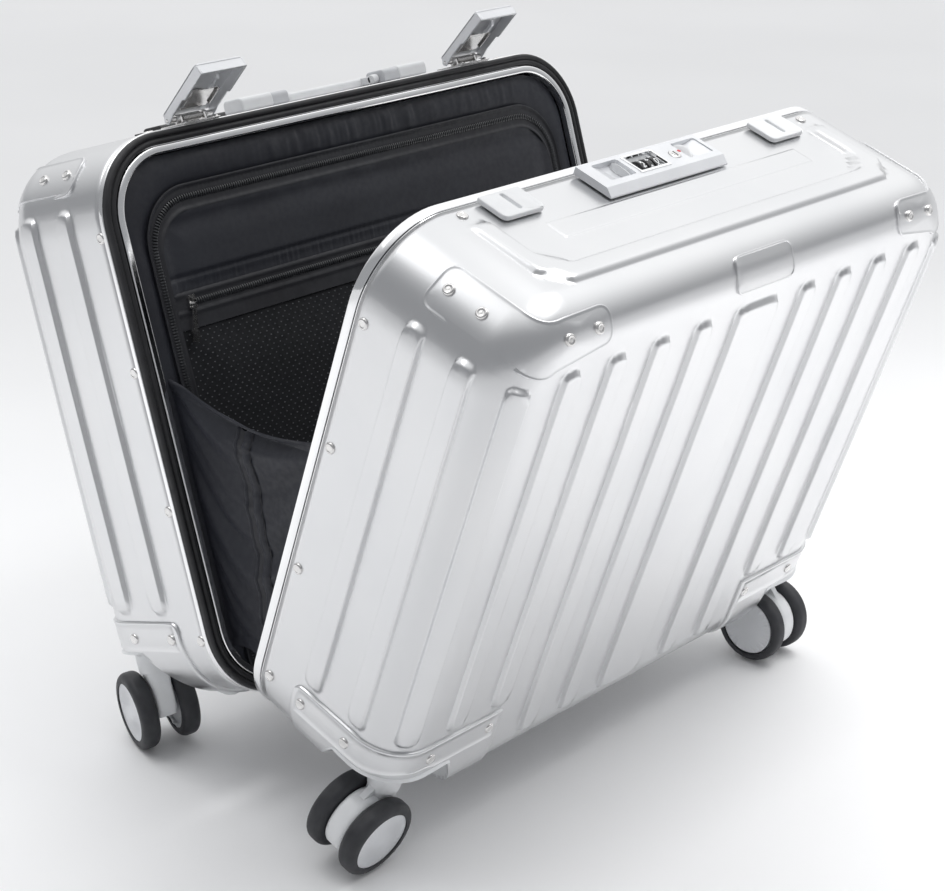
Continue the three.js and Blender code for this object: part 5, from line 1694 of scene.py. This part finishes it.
def divider():
    place = HALF["back"]
    border = add_piece("divider_border", *band_between(OUTER_EDGE, TAPE_OUTER, 14, border_height), place,
                       "navy_cloth", "back_half", replaces=["divider_panel"], sharp=180)
    tape = add_piece("divider_zip_tape", *band_between(TAPE_OUTER, TAPE_INNER, 18, tape_height), place,
                     "zip_tape", "back_half", slot="navy_cloth", sharp=180)
    flap = add_piece("divider_flap", *field(FLAP_FOOT, FLAP_TOP, 44, 300, flap_half_width, flap_height),
                     place, "navy_cloth", "back_half", sharp=180)
    middle = [((a[0] + b[0]) / 2, (a[1] + b[1]) / 2) for a, b in zip(TAPE_OUTER, TAPE_INNER)]
    add_piece("divider_zip_coil", *coil_teeth(middle, 0.4), place, "zip_coil", "back_half",
              slot="black_plastic")

    def pocket_tape(x, z):
        welt = 0.9 * math.exp(-((z - FLAP_FOOT) / 1.3) ** 2) + 0.8 * math.exp(-((z - 250.5) / 1.2) ** 2)
        return 0.5 + welt + 0.25 * noise.noise(Vector((x * 0.1, z * 0.1, 6.0)))

    def full_width(z):
        return FIELD_HALF

    tape_sheet = field(POCKET_TAPE_FOOT, POCKET_TAPE_TOP, 22, 220, full_width, pocket_tape)
    band = add_piece("pocket_zip_tape", *tape_sheet, place, "zip_tape", "back_half", slot="navy_cloth",
                     sharp=180)
    line = [(-176 + 352 * i / 100, POCKET_COIL_Z) for i in range(101)]
    add_piece("pocket_zip_coil", *coil_teeth(line, 1.0), place, "zip_coil", "back_half",
              slot="black_plastic")
    add_piece("pocket_zip_slider", *zip_slider(-174, 257, math.radians(14), 1.4), place, "steel", "back_half")
    add_piece("divider_zip_slider", *zip_slider(191.5, 60, math.radians(-4), 1.2), place, "steel",
              "back_half")

    def net_height(x, z):
        edge = min(FIELD_HALF - abs(x), z - CLOTH_LOW, NET_TOP - z)
        wave = noise.noise(Vector((x * 0.02, z * 0.02, 1.0)))
        return -0.8 + 2.6 * float(smoothstep(edge / 40)) + 0.7 * wave

    net = add_piece("pocket_mesh", *field(CLOTH_LOW, NET_TOP, 100, 150, full_width, net_height), place,
                    "mesh_net", "back_half", slot="navy_cloth", sharp=180)
    # raised knots over the net; the lighter grey material they get paints their highlights
    verts, faces = [], []
    pitch_x, pitch_z = 5.6, 3.0
    row = 0
    z = CLOTH_LOW + 3
    while z < NET_TOP - 2:
        x = 3 - FIELD_HALF + (pitch_x / 2 if row % 2 else 0)
        while x < FIELD_HALF - 2:
            base = len(verts)
            y = DIVIDER_Y - net_height(x, z)
            verts += [(x - 0.95, y + 0.1, z), (x, y + 0.1, z - 0.62), (x + 0.95, y + 0.1, z),
                      (x, y + 0.1, z + 0.62), (x, y - 0.62, z + 0.1)]
            faces += [(base + i, base + (i + 1) % 4, base + 4) for i in range(4)]
            x += pitch_x
        z += pitch_z
        row += 1
    add_piece("pocket_mesh_knots_painted_highlight", verts, faces, place, "mesh_knot_painted_highlight", "back_half", slot="navy_cloth",
              sharp=180)
    add_piece("divider_backing", *block(-208, 208, 7.0, 8.2, 17, 348), place, "navy_cloth", "back_half")


divider()

# ---- cloth gussets between the two rims ----
GUSSET_X = 205.0
GUSSET_LOW, GUSSET_HIGH = 40.0, 215.0
GUSSET_ROWS, GUSSET_COLUMNS = 74, 52


def rim_edge(half, side, z):
    """A point on a half's inner rim, in world metres."""
    hand = side if half == "back" else -side
    return HALF[half] @ Vector((hand * GUSSET_X, RIM_DEPTH - 2.5, z))


def gusset_start(side):
    """The cloth as cut and sewn in: its two edges on the rims, its top hem sagging a little."""
    verts = []
    for r in range(GUSSET_ROWS + 1):
        t = r / GUSSET_ROWS
        back = rim_edge("back", side, GUSSET_LOW + (GUSSET_HIGH - GUSSET_LOW) * t)
        front = rim_edge("front", side, GUSSET_LOW + (GUSSET_HIGH - 5 - GUSSET_LOW) * t)
        for c in range(GUSSET_COLUMNS + 1):
            s = c / GUSSET_COLUMNS
            point = back.lerp(front, s)
            swell = math.sin(math.pi * s)
            width = (back - front).length
            wave = noise.noise(Vector((s * 2.2 + t * 1.4, t * 2.6 - s * 1.2, 4.0 + side)))
            slack = swell * min(width / 0.12, 1)
            fold = math.sin(math.pi * min(s / 0.55, 1)) * (1 - t) ** 0.8 * math.sin(9 * t + 6 * s + 1)
            point.x += -side * (0.010 * wave + 0.005 * fold + 0.004) * slack
            point.z -= 0.004 * swell * t
            verts.append(point)
    return verts, grid_faces(GUSSET_ROWS, GUSSET_COLUMNS)


def settle(piece, pinned, frames=40, growth=-0.004):
    """Lets a sheet hang under its own weight from the vertices it is pinned by."""
    group = piece.vertex_groups.new(name="pinned")
    group.add(pinned, 1.0, "REPLACE")
    cloth = piece.modifiers.new("hang", "CLOTH")
    settings = cloth.settings
    settings.quality = 6
    settings.mass = 0.06
    settings.tension_stiffness = settings.compression_stiffness = 60
    settings.shear_stiffness = 8
    settings.bending_stiffness = 1.2
    settings.vertex_group_mass = "pinned"
    settings.shrink_min = growth
    settings.air_damping = 3
    cloth.collision_settings.use_collision = False
    cloth.point_cache.frame_start = 1
    cloth.point_cache.frame_end = frames
    for step in range(1, frames + 1):
        scene.frame_set(step)
    shape = piece.evaluated_get(bpy.context.evaluated_depsgraph_get()).to_mesh()
    points = [v.co.copy() for v in shape.vertices]
    piece.modifiers.remove(cloth)
    piece.vertex_groups.remove(group)
    for vertex, point in zip(piece.data.vertices, points):
        vertex.co = point
    scene.frame_set(1)


def gusset_point(points, s, t):
    """The cloth's surface at a share across and a share up."""
    c, r = s * GUSSET_COLUMNS, t * GUSSET_ROWS
    c0, r0 = min(int(c), GUSSET_COLUMNS - 1), min(int(r), GUSSET_ROWS - 1)
    u, v = c - c0, r - r0
    row = GUSSET_COLUMNS + 1
    corner = [points[(r0 + j) * row + c0 + i] for j in (0, 1) for i in (0, 1)]
    low = corner[0].lerp(corner[1], u)
    high = corner[2].lerp(corner[3], u)
    normal = (corner[1] - corner[0]).cross(corner[2] - corner[0])
    return low.lerp(high, v), normal.normalized()


def zip_line(t):
    """Where the gusset's zip runs: from the middle of the hem, bending towards the front rim at its foot."""
    return 0.44 + 0.34 * (1 - t) ** 1.6


def gusset_strip(points, side, offset, width, lift, rows, wave=0.0):
    """A narrow strip sewn along the gusset's zip line."""
    verts = []
    across = 6
    for r in range(rows + 1):
        t = 0.06 + 0.925 * r / rows
        middle, normal = gusset_point(points, zip_line(t), t)
        ahead, _ = gusset_point(points, zip_line(t + 0.01), t + 0.01)
        outward = normal if normal.x * side > 0 else -normal
        along = (ahead - middle).normalized()
        sideways = along.cross(outward).normalized()
        for k in range(across + 1):
            share = -1 + 2 * k / across
            ripple = wave * math.sin(r * 1.9) * MM
            round_over = lift * (1 - share * share * 0.75) * MM
            verts.append(middle + sideways * (offset + width * share) * MM
                         + outward * (round_over + ripple + 0.3 * MM))
    return verts, grid_faces(rows, across)


def gussets():
    for side in (-1, 1):
        hand = "left" if side < 0 else "right"
        verts, faces = gusset_start(side)
        cloth = add_piece(f"gusset_{hand}_cloth", verts, faces, Matrix.Identity(4), "navy_cloth", None,
                          replaces=[f"gusset_{hand}"], sharp=180)
        columns = GUSSET_COLUMNS + 1
        pinned = [r * columns + c for r in range(GUSSET_ROWS + 1) for c in (0, GUSSET_COLUMNS)]
        pinned += range(columns)
        settle(cloth, pinned)
        points = [v.co.copy() for v in cloth.data.vertices]
        parts = [("tape", "zip_tape", gusset_strip(points, side, 0, 7.5, 0.7, 90)),
                 ("zip_cover", "navy_cloth", gusset_strip(points, side, 3.4, 3.2, 1.7, 90, 0.12)),
                 ("zip_edge", "navy_cloth", gusset_strip(points, side, -5.2, 1.5, 1.5, 90, 0.1))]
        strips = [add_piece(f"gusset_{hand}_{name}", *part, Matrix.Identity(4), material, None,
                            slot="navy_cloth", sharp=180)
                  for name, material, part in parts]
        hem_rows = []
        for c in range(columns):
            s = c / GUSSET_COLUMNS
            for t, lift in ((0.955, 0.1), (0.965, 0.9), (0.985, 1.1), (1.0, 0.7), (1.0, -0.7)):
                point, normal = gusset_point(points, s, t)
                outward = normal if normal.x * side > 0 else -normal
                hem_rows.append(point + outward * lift * MM)
        strips.append(add_piece(f"gusset_{hand}_hem", hem_rows, grid_faces(GUSSET_COLUMNS, 4),
                                Matrix.Identity(4), "navy_cloth", None, sharp=180))
        for piece in (cloth, *strips):
            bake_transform(piece)


gussets()


# ---- the front half's lining ----
# heights the lining keeps to, above the caster pockets and under the lock's well
POCKET_ROOF_CLEAR, LOCK_WELL_CLEAR = 43.5, 350.5


def lining():
    """One cloth down the walls and over the floor of the front shell, just inside the sheet."""
    depth = DEPTH["front"]
    clear = 4.0
    rows = [(clear, RIM_DEPTH + 2 + 3.0 * i) for i in range(26)]
    radius = EDGE_RADIUS - clear
    for i in range(1, 9):
        angle = math.pi / 2 * i / 9
        rows.append((clear + radius * (1 - math.cos(angle)), depth - EDGE_RADIUS + radius * math.sin(angle)))
    for i in range(34):
        rows.append((EDGE_RADIUS + 3.6 * i, depth - clear))
    verts, faces = [], []
    steps = 20
    straight = 44

    def ring(inset):
        radius = max(CORNER_RADIUS - inset, 0.5)
        half_x, low, high = WIDTH / 2 - inset, inset, HEIGHT - inset
        points = []
        corners = [(half_x - radius, low + radius, -90), (half_x - radius, high - radius, 0),
                   (-half_x + radius, high - radius, 90), (-half_x + radius, low + radius, 180)]
        for n, (cx, cz, begin) in enumerate(corners):
            arc_points = arc((cx, cz), radius, begin, begin + 90, steps)
            points += arc_points
            nx, nz, nb = corners[(n + 1) % 4]
            target = (nx + radius * math.cos(math.radians(nb)), nz + radius * math.sin(math.radians(nb)))
            last = arc_points[-1]
            points += [(last[0] + (target[0] - last[0]) * k / straight,
                        last[1] + (target[1] - last[1]) * k / straight) for k in range(1, straight)]
        return points

    for inset, y in rows:
        for x, z in ring(inset):
            point = Vector((x, y, z))
            inward = Vector((-x / 225, -(y - RIM_DEPTH) / 110, -(z - HEIGHT / 2) / 180))
            inward.normalize()
            soft = float(smoothstep((y - RIM_DEPTH - 4) / 16))
            crease = 1.1 + 1.3 * noise.noise(point * 0.022)
            crease += 0.8 * noise.noise(Vector((x * 0.05, y * 0.02, z * 0.05)))
            point += inward * max(crease, 0.2) * soft
            for side in (-1, 1):
                away = math.hypot(point.x - side * CASTER.x, point.y - CASTER.y)
                rise = float(smoothstep((49 - away) / 8))
                point.z += max(POCKET_ROOF_CLEAR - point.z, 0) * rise
            if -12 < point.x < 28 and point.y < 38 and point.z > 340:
                point.z = min(point.z, LOCK_WELL_CLEAR)
            verts.append(point)
    count = 4 * (steps + straight)
    for r in range(len(rows) - 1):
        for i in range(count):
            a, b = r * count + i, r * count + (i + 1) % count
            faces.append((a, b, b + count, a + count))
    last_ring = (len(rows) - 1) * count
    verts.append(sum(verts[last_ring:], Vector()) / count)
    faces += [(last_ring + i, last_ring + (i + 1) % count, len(verts) - 1) for i in range(count)]
    piece = add_piece("front_lining_cloth", verts, faces, HALF["front"], "navy_cloth", "front_half",
                      replaces=["front_lining"], sharp=180)


lining()


# ---- floor, light and camera ----
def sky_light(tree):
    """White towards the upper back right, fading to grey at the horizon and on the near left."""
    place = tree.nodes.new("ShaderNodeTexCoord")
    aim = tree.nodes.new("ShaderNodeVectorMath")
    aim.operation = "DOT_PRODUCT"
    aim.inputs[1].default_value = (0.45, 0.28, 0.80)
    ramp = tree.nodes.new("ShaderNodeValToRGB")
    background = tree.nodes["Background"]
    tree.links.new(place.outputs["Generated"], aim.inputs[0])
    tree.links.new(aim.outputs["Value"], ramp.inputs["Fac"])
    tree.links.new(ramp.outputs["Color"], background.inputs["Color"])
    ramp.color_ramp.elements[0].position = 0.25
    ramp.color_ramp.elements[0].color = (0.26, 0.265, 0.275, 1)
    ramp.color_ramp.elements[1].position = 0.75
    ramp.color_ramp.elements[1].color = (0.90, 0.905, 0.91, 1)
    background.inputs["Strength"].default_value = 1.3


def studio():
    floor_mesh = bpy.data.meshes.new("floor")
    reach = 60.0
    floor_mesh.from_pydata([(-reach, -reach, 0), (reach, -reach, 0), (reach, reach, 0), (-reach, reach, 0)],
                           [], [(0, 1, 2, 3)])
    floor = bpy.data.objects.new("floor", floor_mesh)
    scene.collection.objects.link(floor)
    pale = new_material("floor_paper", (0.86, 0.86, 0.87), 0.0, 0.9)
    vary(pale, noise_texture(pale, 2.0, 2), "Base Color", (0.91, 0.91, 0.915), (0.935, 0.935, 0.94))
    floor_mesh.materials.append(pale)
    world = bpy.data.worlds.new("studio")
    scene.world = world
    world.use_nodes = True
    sky_light(world.node_tree)
    for name, place, target, size, power, spread, color in LIGHTS:
        data = bpy.data.lights.new(name, "AREA")
        data.shape = "RECTANGLE"
        data.size, data.size_y = size
        data.energy = power
        data.spread = math.radians(spread)
        data.color = color
        lamp = bpy.data.objects.new(name, data)
        scene.collection.objects.link(lamp)
        lamp.location = place
        lamp.rotation_euler = (Vector(target) - Vector(place)).to_track_quat("-Z", "Y").to_euler()
    scene.view_settings.view_transform = "Standard"


LIGHTS = [
    ("floor_right", (0.50, -0.62, 1.5), (0.50, -0.62, 0.0), (0.9, 0.9), 3.8, 80, (1, 0.995, 0.99)),
    ("floor_left", (-0.72, 0.62, 1.5), (-0.72, 0.62, 0.0), (0.9, 0.9), 2.3, 80, (0.99, 0.995, 1)),
]


VIEW_FROM = Vector((-1.02242, -0.90831, 0.74059))
LINE_OF_SIGHT = Vector((0.69432, 0.61678, -0.37082))
VIEW_UP = Vector((0.26484, 0.26011, 0.92855))
LENS = 82.5


def photo_camera():
    """The camera at the photographed viewing angle."""
    data = bpy.data.cameras.new("view_camera")
    data.lens = LENS
    data.sensor_width = 36.0
    data.clip_start = 0.01
    camera = bpy.data.objects.new("view_camera", data)
    scene.collection.objects.link(camera)
    forward = LINE_OF_SIGHT.normalized()
    right = forward.cross(VIEW_UP).normalized()
    up = right.cross(forward)
    turn = Matrix((right, up, -forward)).transposed().to_4x4()
    camera.matrix_world = Matrix.Translation(VIEW_FROM) @ turn
    scene.camera = camera


studio()
photo_camera()
